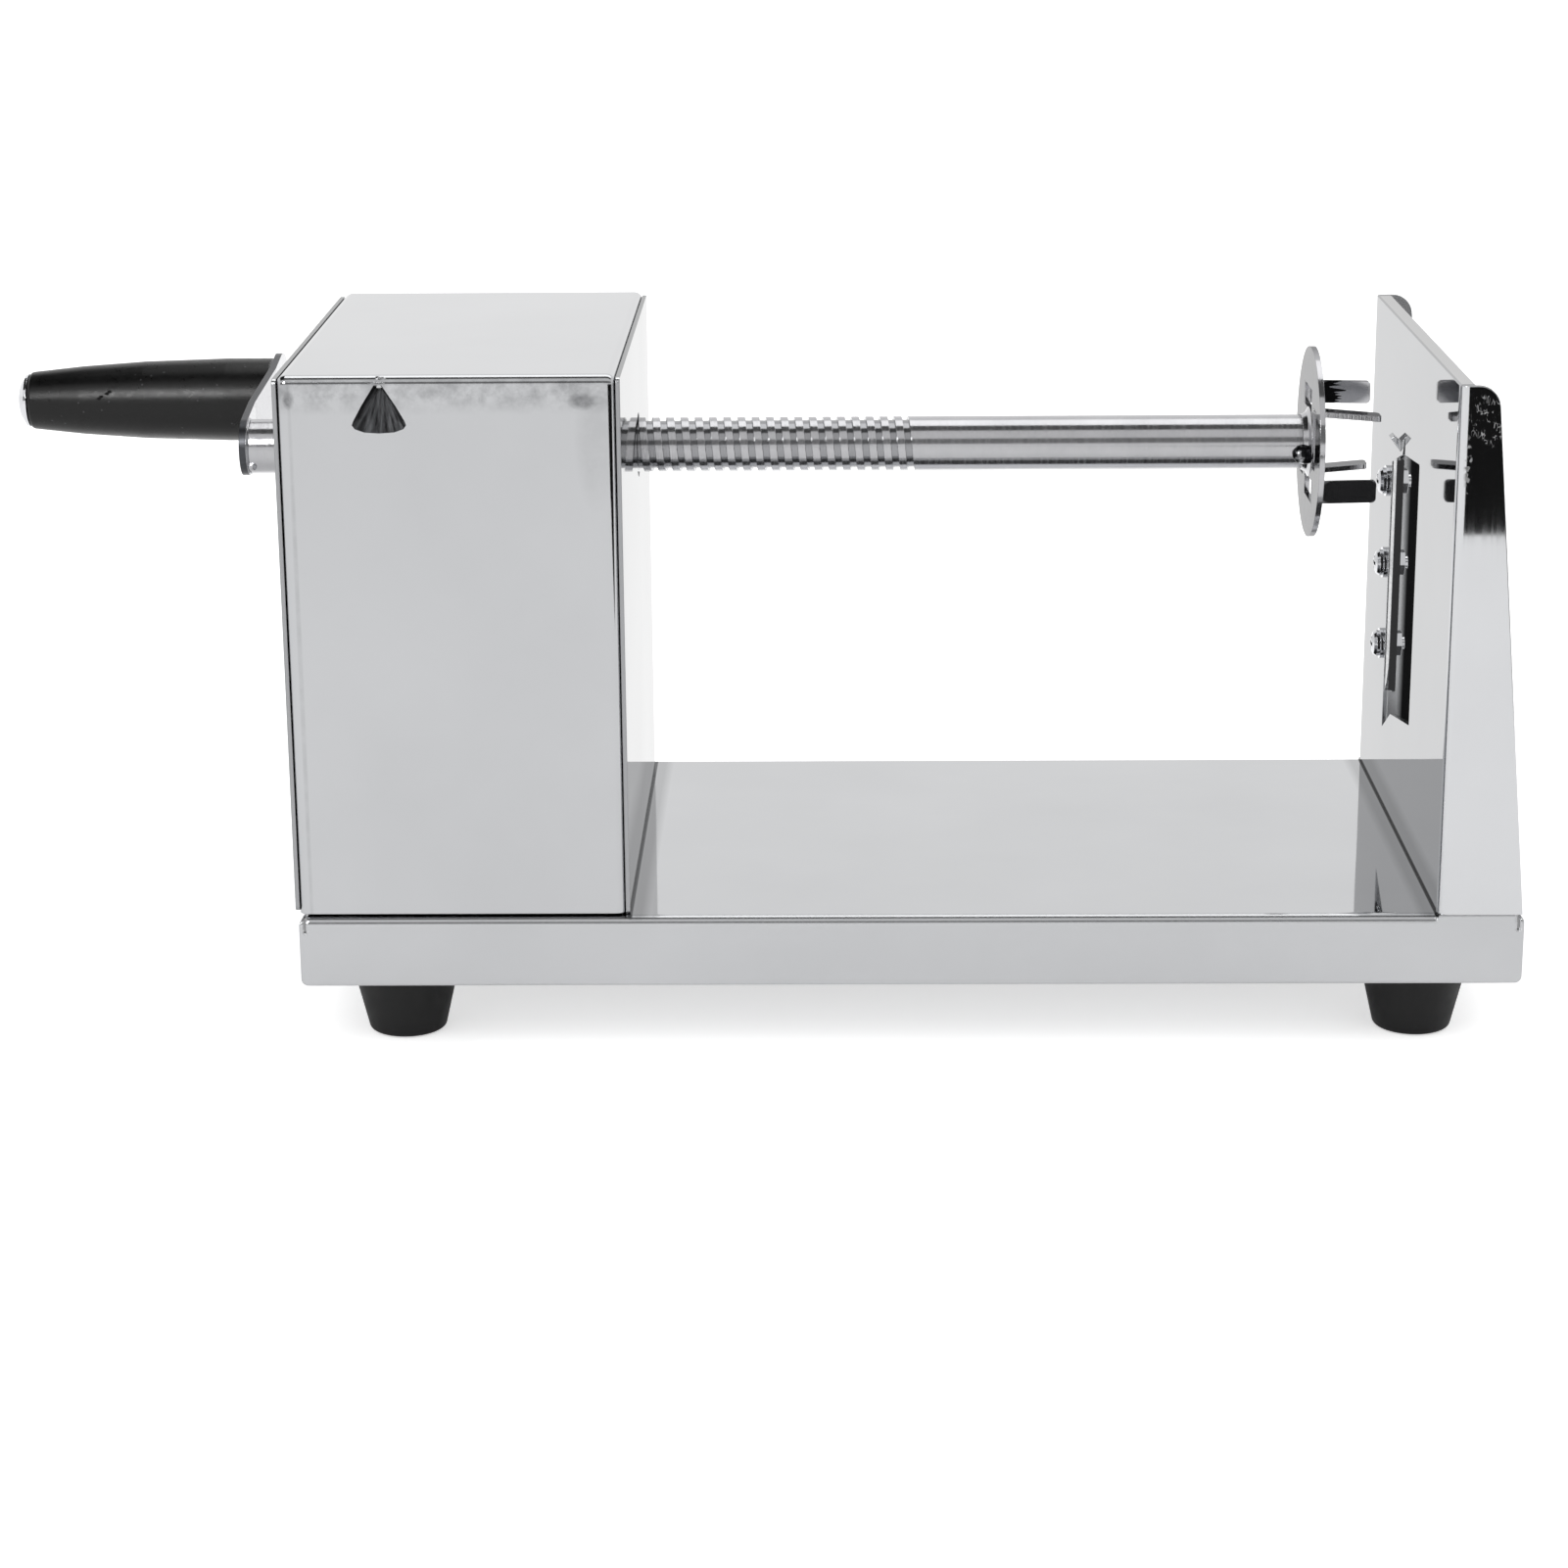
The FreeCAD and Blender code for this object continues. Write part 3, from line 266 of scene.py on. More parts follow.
def platedMetal(name, **changes):
    # chrome or zinc plate over a pressed part: a clear bright mirror with soft clouding
    finish = dict(platedFinish, **changes)
    material, tree, shader = newMaterial(name)
    place = addNode(tree, "ShaderNodeTexCoord").outputs["Object"]
    cloud = addNode(tree, "ShaderNodeTexNoise", {
        "Vector": place, "Scale": perMetre(finish["cloudWidth"]), "Detail": 3.0})
    rough = addNode(tree, "ShaderNodeMapRange", {
        "Value": cloud.outputs[0], "From Min": 0.3, "From Max": 0.7,
        "To Min": finish["roughness"][0], "To Max": finish["roughness"][1]})
    soft = addNode(tree, "ShaderNodeBevel", {"Radius": finish["rounding"]}, samples=6)
    shader.inputs["Base Color"].default_value = hexColour(finish["colour"])
    shader.inputs["Metallic"].default_value = 1.0
    tree.links.new(rough.outputs[0], shader.inputs["Roughness"])
    tree.links.new(soft.outputs[0], shader.inputs["Normal"])
    return material


plasticFinish = {
    "colour": "#040404", "worn": "#3A3A3C", "roughness": (0.26, 0.40), "ior": 1.55,
    "scuffWidth": 3.5, "speckSpace": 3.6,   # mm
    "scuffDepth": 0.00012,                  # m
    # places in x and z of the short gouges, their half size, and the grip's middle in y
    "gouges": [(-0.1967, 0.1623), (-0.1960, 0.1629), (-0.1942, 0.1638), (-0.1934, 0.1644)],
    "gougeHalf": (0.00064, None, 0.0004), "middle": 0.0661,     # m
    "gouge": ("#010101", 0.9),              # colour and roughness
}


def mouldedPlastic(name):
    # phenolic moulding, gloss black: a soft broad sheen broken by scuffs, specks and gouges
    material, tree, shader = newMaterial(name)
    place = addNode(tree, "ShaderNodeTexCoord").outputs["Object"]
    scuffs = addNode(tree, "ShaderNodeTexNoise", {
        "Vector": place, "Scale": perMetre(plasticFinish["scuffWidth"]), "Detail": 8.0,
        "Roughness": 0.75, "Distortion": 1.5})
    dust = addNode(tree, "ShaderNodeTexVoronoi", {
        "Vector": place, "Scale": perMetre(plasticFinish["speckSpace"])})
    speck = addNode(tree, "ShaderNodeMapRange", {
        "Value": dust.outputs["Distance"], "From Min": 0.05, "From Max": 0.12,
        "To Min": 1.0, "To Max": 0.0})
    tone = addNode(tree, "ShaderNodeMix", {
        0: speck.outputs[0], 6: hexColour(plasticFinish["colour"]),
        7: hexColour(plasticFinish["worn"])}, data_type="RGBA")
    rough = addNode(tree, "ShaderNodeMapRange", {
        "Value": scuffs.outputs[0], "From Min": 0.35, "From Max": 0.7,
        "To Min": plasticFinish["roughness"][0], "To Max": plasticFinish["roughness"][1]})
    skin = addNode(tree, "ShaderNodeBump", {
        "Height": scuffs.outputs[0], "Strength": 0.12, "Distance": plasticFinish["scuffDepth"]})
    tree.links.new(tone.outputs[2], shader.inputs["Base Color"])
    tree.links.new(rough.outputs[0], shader.inputs["Roughness"])
    tree.links.new(skin.outputs[0], shader.inputs["Normal"])
    shader.inputs["IOR"].default_value = plasticFinish["ior"]
    shader.inputs["Specular IOR Level"].default_value = 0.3
    across = addNode(tree, "ShaderNodeSeparateXYZ", {0: place}).outputs[1]
    facing = addNode(tree, "ShaderNodeMath", {0: across, 1: plasticFinish["middle"]},
                     operation="LESS_THAN").outputs[0]
    for x, z in plasticFinish["gouges"]:
        gouge = patchMask(tree, place, (x, 0, z), plasticFinish["gougeHalf"])
        layOver(tree, shader, [gouge, facing], *plasticFinish["gouge"])
    return material


rubberFinish = {
    "colour": "#080809", "bloom": "#101011", "roughness": (0.42, 0.62), "ior": 1.52,
    "gritWidth": 0.35, "bloomWidth": 9.0,   # mm
    "gritDepth": 0.00006,                   # m
}


def mouldedRubber(name):
    # moulded natural rubber: near black with a faint grey bloom and a fine mould grit
    material, tree, shader = newMaterial(name)
    place = addNode(tree, "ShaderNodeTexCoord").outputs["Object"]
    grit = addNode(tree, "ShaderNodeTexNoise", {
        "Vector": place, "Scale": perMetre(rubberFinish["gritWidth"]), "Detail": 2.0})
    bloom = addNode(tree, "ShaderNodeTexNoise", {
        "Vector": place, "Scale": perMetre(rubberFinish["bloomWidth"]), "Detail": 4.0})
    tone = addNode(tree, "ShaderNodeMix", {
        0: bloom.outputs[0], 6: hexColour(rubberFinish["colour"]),
        7: hexColour(rubberFinish["bloom"])}, data_type="RGBA")
    rough = addNode(tree, "ShaderNodeMapRange", {
        "Value": bloom.outputs[0], "From Min": 0.3, "From Max": 0.7,
        "To Min": rubberFinish["roughness"][0], "To Max": rubberFinish["roughness"][1]})
    skin = addNode(tree, "ShaderNodeBump", {
        "Height": grit.outputs[0], "Strength": 0.25, "Distance": rubberFinish["gritDepth"]})
    tree.links.new(tone.outputs[2], shader.inputs["Base Color"])
    tree.links.new(rough.outputs[0], shader.inputs["Roughness"])
    tree.links.new(skin.outputs[0], shader.inputs["Normal"])
    shader.inputs["IOR"].default_value = rubberFinish["ior"]
    shader.inputs["Specular IOR Level"].default_value = 0.3
    return material


# the tray: a dark line in the corner and a soft shadow beside it, both painted shade, where the
# plate and the housing stand on it
trayMarks = {
    "top": 0.0386, "band": 0.0008, "lineHalf": 0.0006, "shadeHalf": 0.0022,     # m
    "lineSoft": 0.3, "shadeSoft": 0.6, "shadeAmount": 0.45,
    "shade": ("#77787A", 0.12),     # colour and roughness
    # place in x, side that the shade lies on, colour and roughness of the painted shade in the
    # corner
    "feet": [(0.1992, -1, ("#1B1B1C", 0.4)), (-0.0277, 1, ("#5B5C5E", 0.4))],
}
sheetLong, tree, shader, place = rolledSheet(
    "bright annealed stainless sheet, grain along", "x", rounding=0.0011)
for foot, side, paintedShade in trayMarks["feet"]:
    shade = patchMask(
        tree, place, (foot + side * trayMarks["shadeHalf"], 0, trayMarks["top"]),
        (trayMarks["shadeHalf"], None, trayMarks["band"]), trayMarks["shadeSoft"])
    # painted shadow on the tray beside where the plate or the housing stands
    layOver(tree, shader, [shade, trayMarks["shadeAmount"]], *trayMarks["shade"])
    line = patchMask(tree, place, (foot, 0, trayMarks["top"]),
                     (trayMarks["lineHalf"], None, trayMarks["band"]), trayMarks["lineSoft"])
    # painted shade in the corner where the plate or the housing meets the tray
    layOver(tree, shader, [line], *paintedShade)

# the housing: a dent below the top bend, its leaning wall painted with a streaked dark reflection,
# a mottled darker band under the bend, and handling smudges beside it, one of them painted shade
# near the right edge
housingMarks = {
    # colour and roughness
    "mottle": ("#77787A", 0.16), "smudgeAndShade": ("#4E4F51", 0.24),
    # centre, half size and softness
    "band": ((0, -0.08, 0.1885), (None, 0.001, 0.0042), 0.6),
    "dent": ((-0.0933, -0.0800, 0.1828), (0.0088, 0.006, 0.0080), 0.04),
    # centre, half size and amount
    "smudgesAndShade": [
        ((-0.0377, -0.0800, 0.1854), (0.0033, 0.002, 0.0020), 0.55),
        ((-0.1177, -0.0800, 0.1859), (0.0013, 0.002, 0.0019), 0.6),
        # a darker column near the right edge: painted shade
        ((-0.0345, -0.0800, 0.1740), (0.0045, 0.002, 0.0150), 0.12),
        ((-0.1176, -0.0800, 0.1100), (0.0006, 0.002, 0.0800), 0.16)],
    "smudgeAndShadeSoft": 0.35,
    "mottleWidth": 6.25,              # mm
    # the painted reflection's streaks run down and out from the apex, only where the dent's wall
    # leans
    "apex": (-0.0928, -0.0800, 0.1912),
    "streaksRound": 10.0,           # per radian
    "streaksDown": 130.0,           # per metre
    "lean": (-0.99, -0.98),         # y part of the normal; -1 is the flat front
    # the dent's leaning wall is painted dark and streaked, as its reflection
    "dentReflectionDark": "#1A1A1B", "dentReflectionLight": "#545557", "dentRoughness": 0.5,
}
housingSheet, tree, shader, place = rolledSheet(
    "bright annealed stainless sheet, dented and scraped", "z")
mottle = addNode(tree, "ShaderNodeTexNoise", {
    "Vector": place, "Scale": perMetre(housingMarks["mottleWidth"]), "Detail": 4.0, "Roughness": 0.7})
mottled = addNode(tree, "ShaderNodeMapRange", {
    "Value": mottle.outputs[0], "From Min": 0.38, "From Max": 0.68, "To Max": 0.55})
# a mottled darker band just under the top bend
band = patchMask(tree, place, *housingMarks["band"])
layOver(tree, shader, [band, mottled.outputs[0]], *housingMarks["mottle"])
patchy = addNode(tree, "ShaderNodeMapRange", {
    "Value": mottle.outputs[0], "From Min": 0.3, "From Max": 0.6, "To Min": 0.45})
# handling smudges, and one column of painted shade near the right edge
for centre, size, amount in housingMarks["smudgesAndShade"]:
    smudgeAndShade = patchMask(tree, place, centre, size, housingMarks["smudgeAndShadeSoft"])
    layOver(tree, shader, [smudgeAndShade, amount, patchy.outputs[0]], *housingMarks["smudgeAndShade"])
fromApex = addNode(tree, "ShaderNodeVectorMath", {0: place, 1: housingMarks["apex"]},
                   operation="SUBTRACT")
parts = addNode(tree, "ShaderNodeSeparateXYZ", {0: fromApex.outputs[0]})
down = addNode(tree, "ShaderNodeMath", {0: parts.outputs[2], 1: -1.0}, operation="MULTIPLY")
turn = addNode(tree, "ShaderNodeMath", {0: parts.outputs[0], 1: down.outputs[0]},
               operation="ARCTAN2")
turns = addNode(tree, "ShaderNodeMath", {0: turn.outputs[0], 1: housingMarks["streaksRound"]},
                operation="MULTIPLY")
drops = addNode(tree, "ShaderNodeMath", {0: down.outputs[0], 1: housingMarks["streaksDown"]},
                operation="MULTIPLY")
fan = addNode(tree, "ShaderNodeCombineXYZ", {0: turns.outputs[0], 1: drops.outputs[0]})
streak = addNode(tree, "ShaderNodeTexNoise", {
    "Vector": fan.outputs[0], "Scale": 1.0, "Detail": 3.0, "Roughness": 0.6})
sharper = addNode(tree, "ShaderNodeMapRange", {
    "Value": streak.outputs[0], "From Min": 0.35, "From Max": 0.75})
# painted dark reflection, streaked, on the dent's leaning wall
dentReflection = addNode(tree, "ShaderNodeMix", {
    0: sharper.outputs[0], 6: hexColour(housingMarks["dentReflectionDark"]),
    7: hexColour(housingMarks["dentReflectionLight"])}, data_type="RGBA")
leaning = addNode(tree, "ShaderNodeMapRange", {
    "Value": normalParts(tree)[1], "From Min": housingMarks["lean"][0],
    "From Max": housingMarks["lean"][1]})
dent = patchMask(tree, place, *housingMarks["dent"])
layOver(tree, shader, [dent, leaning.outputs[0]], dentReflection.outputs[2],
        housingMarks["dentRoughness"])

# the side walls: sheared all round, with the upward-facing top edge painted lighter as a highlight
# the top edge's colour is a painted highlight
wallMarks = {"sheared": "#A3A4A6", "rubbedAndPaintedHighlight": ("#DCDDDE", 0.10)}      # colour and roughness
wallSheet, tree, shader, place = rolledSheet(
    "bright annealed stainless sheet, sheared to size", "z", edgeTint="#C4C4C4")
shearedEdges(tree, shader, "x", wallMarks["sheared"])
# painted highlight on the upward-facing top edge
upward = addNode(tree, "ShaderNodeMapRange", {
    "Value": normalParts(tree)[2], "From Min": edgeTurn[0], "From Max": edgeTurn[1]})
layOver(tree, shader, [upward.outputs[0]], *wallMarks["rubbedAndPaintedHighlight"])

# the end plate: its inner side was never polished, with painted shade on the back flange's inner
# face and a painted highlight along the top lip, and the front flange is scratched
plateMarks = {
    # colour and roughness
    # the dark patch's colour is painted shade, and the lip's colour a painted highlight
    "inner": ("#ADAEB0", 0.2), "lip": ("#F6F6F6", 0.06), "paintedShade": ("#1D1D1E", 0.4),
    "scratch": ("#A8A8A8", 0.6), "rub": ("#7E7E7E", 0.5),
    "skin": (0.1998, 0.2001),       # m, where the inner side begins in x
    "innerHalf": 0.0802, "lipHalf": 0.0780, "top": 0.1868,      # m
    # centre, half size and softness
    # where painted shade lies on the back flange's inner face
    "shadedPatch": ((0.2185, 0.0795, 0.1100), (0.0072, 0.004, None), 0.12),
    "scratched": ((0.2075, -0.0810, 0.1800), (0.0055, 0.002, 0.0070), 0.25),
    "rubbedAndPaintedHighlight": ((0.2021, -0.0810, 0.1668), (0.0009, 0.002, 0.0060), 0.5),
    "scratchSpace": 0.8,            # mm
    "scratchLine": (0.02, 0.05),    # share of that space
    "scratchTurn": 0.9,             # radians
    "scratchStretch": 0.45,
    "breaks": 420.0,                # per metre
}
sheetPlate, tree, shader, place = rolledSheet(
    "bright annealed stainless sheet, dulled by use", "z", colour="#D6D7D9", dull="#CDCED0",
    edgeTint="#CFCFCF")
where = addNode(tree, "ShaderNodeSeparateXYZ", {0: place})
behind = addNode(tree, "ShaderNodeMapRange", {
    "Value": where.outputs[0], "From Min": plateMarks["skin"][0],
    "From Max": plateMarks["skin"][1]})
aside = addNode(tree, "ShaderNodeMath", {0: where.outputs[1]}, operation="ABSOLUTE")
within = addNode(tree, "ShaderNodeMath", {0: aside.outputs[0], 1: plateMarks["innerHalf"]},
                 operation="LESS_THAN")
# the top lip of the inner side, which is painted lighter as a highlight
high = addNode(tree, "ShaderNodeMath", {0: where.outputs[2], 1: plateMarks["top"]},
               operation="GREATER_THAN")
middle = addNode(tree, "ShaderNodeMath", {0: aside.outputs[0], 1: plateMarks["lipHalf"]},
                 operation="LESS_THAN")
lip = addNode(tree, "ShaderNodeMath", {0: high.outputs[0], 1: middle.outputs[0]},
              operation="MULTIPLY").outputs[0]
hidden = addNode(tree, "ShaderNodeMath", {0: behind.outputs[0], 1: within.outputs[0]},
                 operation="MULTIPLY").outputs[0]
inner = addNode(tree, "ShaderNodeMath", {0: hidden, 1: lip}, operation="SUBTRACT",
                use_clamp=True).outputs[0]
layOver(tree, shader, [inner], *plateMarks["inner"])
# painted shade on the back flange's inner face
shadedPatch = patchMask(tree, place, *plateMarks["shadedPatch"])
layOver(tree, shader, [shadedPatch, inner], *plateMarks["paintedShade"])
# painted highlight along the inner side's top lip
layOver(tree, shader, [lip, hidden], *plateMarks["lip"])
slanted = addNode(tree, "ShaderNodeMapping", {
    "Vector": place, "Rotation": (0, plateMarks["scratchTurn"], 0),
    "Scale": (1, 1, plateMarks["scratchStretch"])})
cracks = addNode(tree, "ShaderNodeTexVoronoi", {
    "Vector": slanted.outputs[0], "Scale": perMetre(plateMarks["scratchSpace"])},
    feature="DISTANCE_TO_EDGE")
thin = addNode(tree, "ShaderNodeMapRange", {
    "Value": cracks.outputs["Distance"], "From Min": plateMarks["scratchLine"][0],
    "From Max": plateMarks["scratchLine"][1], "To Min": 1.0, "To Max": 0.0})
broken = addNode(tree, "ShaderNodeTexNoise", {
    "Vector": place, "Scale": plateMarks["breaks"], "Detail": 3.0})
kept = addNode(tree, "ShaderNodeMapRange", {
    "Value": broken.outputs[0], "From Min": 0.50, "From Max": 0.60})
scratched = patchMask(tree, place, *plateMarks["scratched"])
layOver(tree, shader, [thin.outputs[0], kept.outputs[0], scratched], *plateMarks["scratch"])
rubbedAndPaintedHighlight = patchMask(tree, place, *plateMarks["rubbedAndPaintedHighlight"])
layOver(tree, shader, [kept.outputs[0], rubbedAndPaintedHighlight], *plateMarks["rub"])

# the tube: the floor of the groove was never polished
grooveMarks = {
    "axis": (0.0085, 0.1563), "floor": 0.0076,      # m, in y and z, and the radius
    "dull": ("#7C7D80", 0.16), "amount": 0.6,       # colour and roughness, and how much of it
}
tubeSteel, tree, shader, place = polishedTube("belt polished stainless tube")
around = addNode(tree, "ShaderNodeMapping", {
    "Vector": place, "Scale": (0, 1, 1), "Location": (0, *(-c for c in grooveMarks["axis"]))})
away = addNode(tree, "ShaderNodeVectorMath", {0: around.outputs[0]}, operation="LENGTH")
deep = addNode(tree, "ShaderNodeMath", {0: away.outputs["Value"], 1: grooveMarks["floor"]},
               operation="LESS_THAN")
layOver(tree, shader, [deep.outputs[0], grooveMarks["amount"]], *grooveMarks["dull"])

# the punched disc: two prongs painted darker and greyer as their reflections, one with torn marks
# at its root
discMarks = {
    "edgeTint": "#B4B4B4",
    # centre, colour and roughness
    # each prong's tone is a painted reflection: dark on the lower prong, mid grey on the upper
    "prongs": [((0.1820, -0.0033, 0.1433), ("#2B2B2C", 0.22)),
               ((0.1820, 0.0203, 0.1693), ("#85868A", 0.22))],
    "prongHalf": (0.0105, 0.0040, 0.0048), "prongSoft": 0.1,
    "torn": ((0.1800, 0.0203, 0.1693), (0.0075, 0.004, 0.0052), 0.1),
    "tear": ("#121213", 0.4),
    "tearWidth": 1.3,                           # mm
    "tearStart": 0.1768, "tearLength": 0.0062,  # m
}
discSteel, tree, shader, place = polishedTube("punched stainless disc", roughness=(0.06, 0.16))
shader.inputs["Specular Tint"].default_value = hexColour(discMarks["edgeTint"])
# painted reflection on each prong
for centre, sheared in discMarks["prongs"]:
    prong = patchMask(tree, place, centre, discMarks["prongHalf"], discMarks["prongSoft"])
    layOver(tree, shader, [prong], *sheared)
rows = addNode(tree, "ShaderNodeMapping", {
    "Vector": place, "Scale": (0, 0, perMetre(discMarks["tearWidth"]))})
tear = addNode(tree, "ShaderNodeTexNoise", {
    "Vector": rows.outputs[0], "Scale": 1.0, "Detail": 1.0})
reach = addNode(tree, "ShaderNodeMapRange", {
    "Value": tear.outputs[0], "From Min": 0.40, "From Max": 0.62,
    "To Min": discMarks["tearStart"], "To Max": discMarks["tearStart"] + discMarks["tearLength"]})
along = addNode(tree, "ShaderNodeSeparateXYZ", {0: place}).outputs[0]
torn = addNode(tree, "ShaderNodeMath", {0: along, 1: reach.outputs[0]}, operation="LESS_THAN")
root = patchMask(tree, place, *discMarks["torn"])
layOver(tree, shader, [torn.outputs[0], root], *discMarks["tear"])

# the crank arm: burnt dark along its sheared edges
armMarks = {"sheared": "#4C4D50"}
armSteel, tree, shader, place = polishedTube("sheared flat steel, belt polished", around=False)
shearedEdges(tree, shader, "x", armMarks["sheared"])

# arc weld: burnt dark, with small bright beads
weldFinish = {
    "burnt": "#1C1C1E", "bright": "#C9CACD", "roughness": 0.28,
    "beadWidth": 2.6,       # mm
    "beadDepth": 0.0005,    # m
}
weldSteel, tree, shader = newMaterial("arc weld, burnt and wire brushed")
place = addNode(tree, "ShaderNodeTexCoord").outputs["Object"]
beads = addNode(tree, "ShaderNodeTexNoise", {
    "Vector": place, "Scale": perMetre(weldFinish["beadWidth"]), "Detail": 2.0})
bright = addNode(tree, "ShaderNodeMapRange", {
    "Value": beads.outputs[0], "From Min": 0.58, "From Max": 0.72})
burn = addNode(tree, "ShaderNodeMix", {
    0: bright.outputs[0], 6: hexColour(weldFinish["burnt"]), 7: hexColour(weldFinish["bright"])},
    data_type="RGBA")
ripples = addNode(tree, "ShaderNodeBump", {
    "Height": beads.outputs[0], "Strength": 0.5, "Distance": weldFinish["beadDepth"]})
tree.links.new(burn.outputs[2], shader.inputs["Base Color"])
tree.links.new(ripples.outputs[0], shader.inputs["Normal"])
shader.inputs["Metallic"].default_value = 1.0
shader.inputs["Roughness"].default_value = weldFinish["roughness"]

platedSteel = platedMetal("zinc plated fastener steel", colour="#C9CACD")
chrome = platedMetal("bright chrome plate")
cutlerySteel = groundBlade("ground cutlery steel")
handlePlastic = mouldedPlastic("gloss black phenolic moulding")
nylon = mouldedRubber("moulded dark nylon")
rubber = mouldedRubber("moulded black rubber")

finishes = {
    "base_tray": sheetLong, "end_plate": sheetPlate, "housing_shell": housingSheet,
    "housing_left_wall": wallSheet, "housing_right_wall": wallSheet,
    "crank_tube": tubeSteel, "pusher_disc": discSteel, "disc_weld": tubeSteel,
    "arm_weld": tubeSteel, "crank_arm": armSteel, "handle_grip": handlePlastic,
    "handle_cap": chrome, "cutting_blade": cutlerySteel, "skewer_bush": nylon,
    "guide_bush": nylon, "thread_nut": tubeSteel, "thread_follower": tubeSteel,
    "foot_front_left": rubber, "foot_front_right": rubber,
    "foot_back_left": rubber, "foot_back_right": rubber,
}
for name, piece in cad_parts.items():
    # what is left over is a screw, a nut, a washer or the spindle
    piece.data.materials.clear()
    piece.data.materials.append(finishes.get(name, platedSteel))
print("finishes given")

# lumps of weld, and the crumpled bend above the dent; lengths in metres
lumpSides, lumpRings = 24, 14
lumps = {
    "disc_weld_lump": {
        "centre": (0.1681, 0.0006, 0.1540), "size": (0.0035, 0.0028, 0.0030),
        "rough": 0.0009, "grain": 0.0030, "body": "crank", "slot": "bright_steel",
        "material": weldSteel},
    "arm_weld_lump": {
        "centre": (-0.1416, 0.0022, 0.1518), "size": (0.0014, 0.0012, 0.0017),
        "rough": 0.0004, "grain": 0.0014, "body": "crank", "slot": "bright_steel",
        "material": tubeSteel},
    "bend_crumple": {
        "centre": (-0.0925, -0.0788, 0.1915), "size": (0.0019, 0.0008, 0.0008),
        "rough": 0.0006, "grain": 0.0012, "body": "frame", "slot": "sheet_steel",
        "material": housingSheet},
}
for name, lump in lumps.items():
    bpy.ops.mesh.primitive_uv_sphere_add(
        segments=lumpSides, ring_count=lumpRings, radius=1.0, location=lump["centre"])
    piece = bpy.context.object
    piece.name = name
    bpy.ops.transform.resize(value=lump["size"])
    bpy.ops.object.transform_apply(location=True, rotation=True, scale=True)
    finer = piece.modifiers.new("finer", "SUBSURF")
    finer.levels = finer.render_levels = 1
    bpy.ops.object.modifier_apply(modifier=finer.name)
    clouds = bpy.data.textures.new(name, "CLOUDS")
    clouds.noise_scale = lump["grain"]
    lumpy = piece.modifiers.new("lumpy", "DISPLACE")
    lumpy.texture = clouds
    lumpy.texture_coords = "LOCAL"
    lumpy.strength = lump["rough"]
    bpy.ops.object.modifier_apply(modifier=lumpy.name)
    bpy.ops.object.shade_smooth()
    piece.data.materials.append(lump["material"])
    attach(piece, lump["body"])
    piece.select_set(False)
print("weld lumps and crumple made")

cameraSet = {
    "place": (0.0317, -1.0652, 0.3650),                     # m
    "yaw": -0.914, "pitch": 16.278, "roll": -0.444,         # degrees
    "lens": 84.5, "sensor": 36.0,                           # mm
    "nearest": 0.05,                                        # m
}
yaw, pitch, roll = (math.radians(cameraSet[key]) for key in ("yaw", "pitch", "roll"))
ahead = Vector((math.sin(yaw) * math.cos(pitch), math.cos(yaw) * math.cos(pitch),
                -math.sin(pitch)))
level = Vector((math.cos(yaw), -math.sin(yaw), 0))
above = level.cross(ahead)
right = math.cos(roll) * level + math.sin(roll) * above
up = -math.sin(roll) * level + math.cos(roll) * above
bpy.ops.object.camera_add(location=cameraSet["place"])
camera = bpy.context.object
turned = Matrix((right, up, -ahead)).transposed().to_4x4()
camera.matrix_world = Matrix.Translation(cameraSet["place"]) @ turned
camera.data.lens = cameraSet["lens"]
camera.data.sensor_width = cameraSet["sensor"]
camera.data.clip_start = cameraSet["nearest"]
scene.camera = camera

# the floor's own glow is what the lamps leave missing to plain white
floorSet = {
    "size": 9.0, "height": -0.0003,     # m
    "colour": "#F4F4F4", "glow": 0.2, "cameraGlow": 0.38, "roughness": 0.9,
}
bpy.ops.mesh.primitive_plane_add(size=floorSet["size"], location=(0, 0, floorSet["height"]))
floor = bpy.context.object
floor.name = "floor"
floorMaterial, tree, shader = newMaterial("white paper floor")
shader.inputs["Base Color"].default_value = hexColour(floorSet["colour"])
shader.inputs["Roughness"].default_value = floorSet["roughness"]
shader.inputs["Emission Color"].default_value = (1, 1, 1, 1)
seenStraight = addNode(tree, "ShaderNodeMath", {0: straightRays(tree), 1: floorSet["glow"]},
                       operation="MULTIPLY")
cameraRay = addNode(tree, "ShaderNodeLightPath").outputs["Is Camera Ray"]
glow = addNode(tree, "ShaderNodeMath", {
    0: cameraRay, 1: floorSet["cameraGlow"], 2: seenStraight.outputs[0]},
    operation="MULTIPLY_ADD")
tree.links.new(glow.outputs[0], shader.inputs["Emission Strength"])
floor.data.materials.append(floorMaterial)

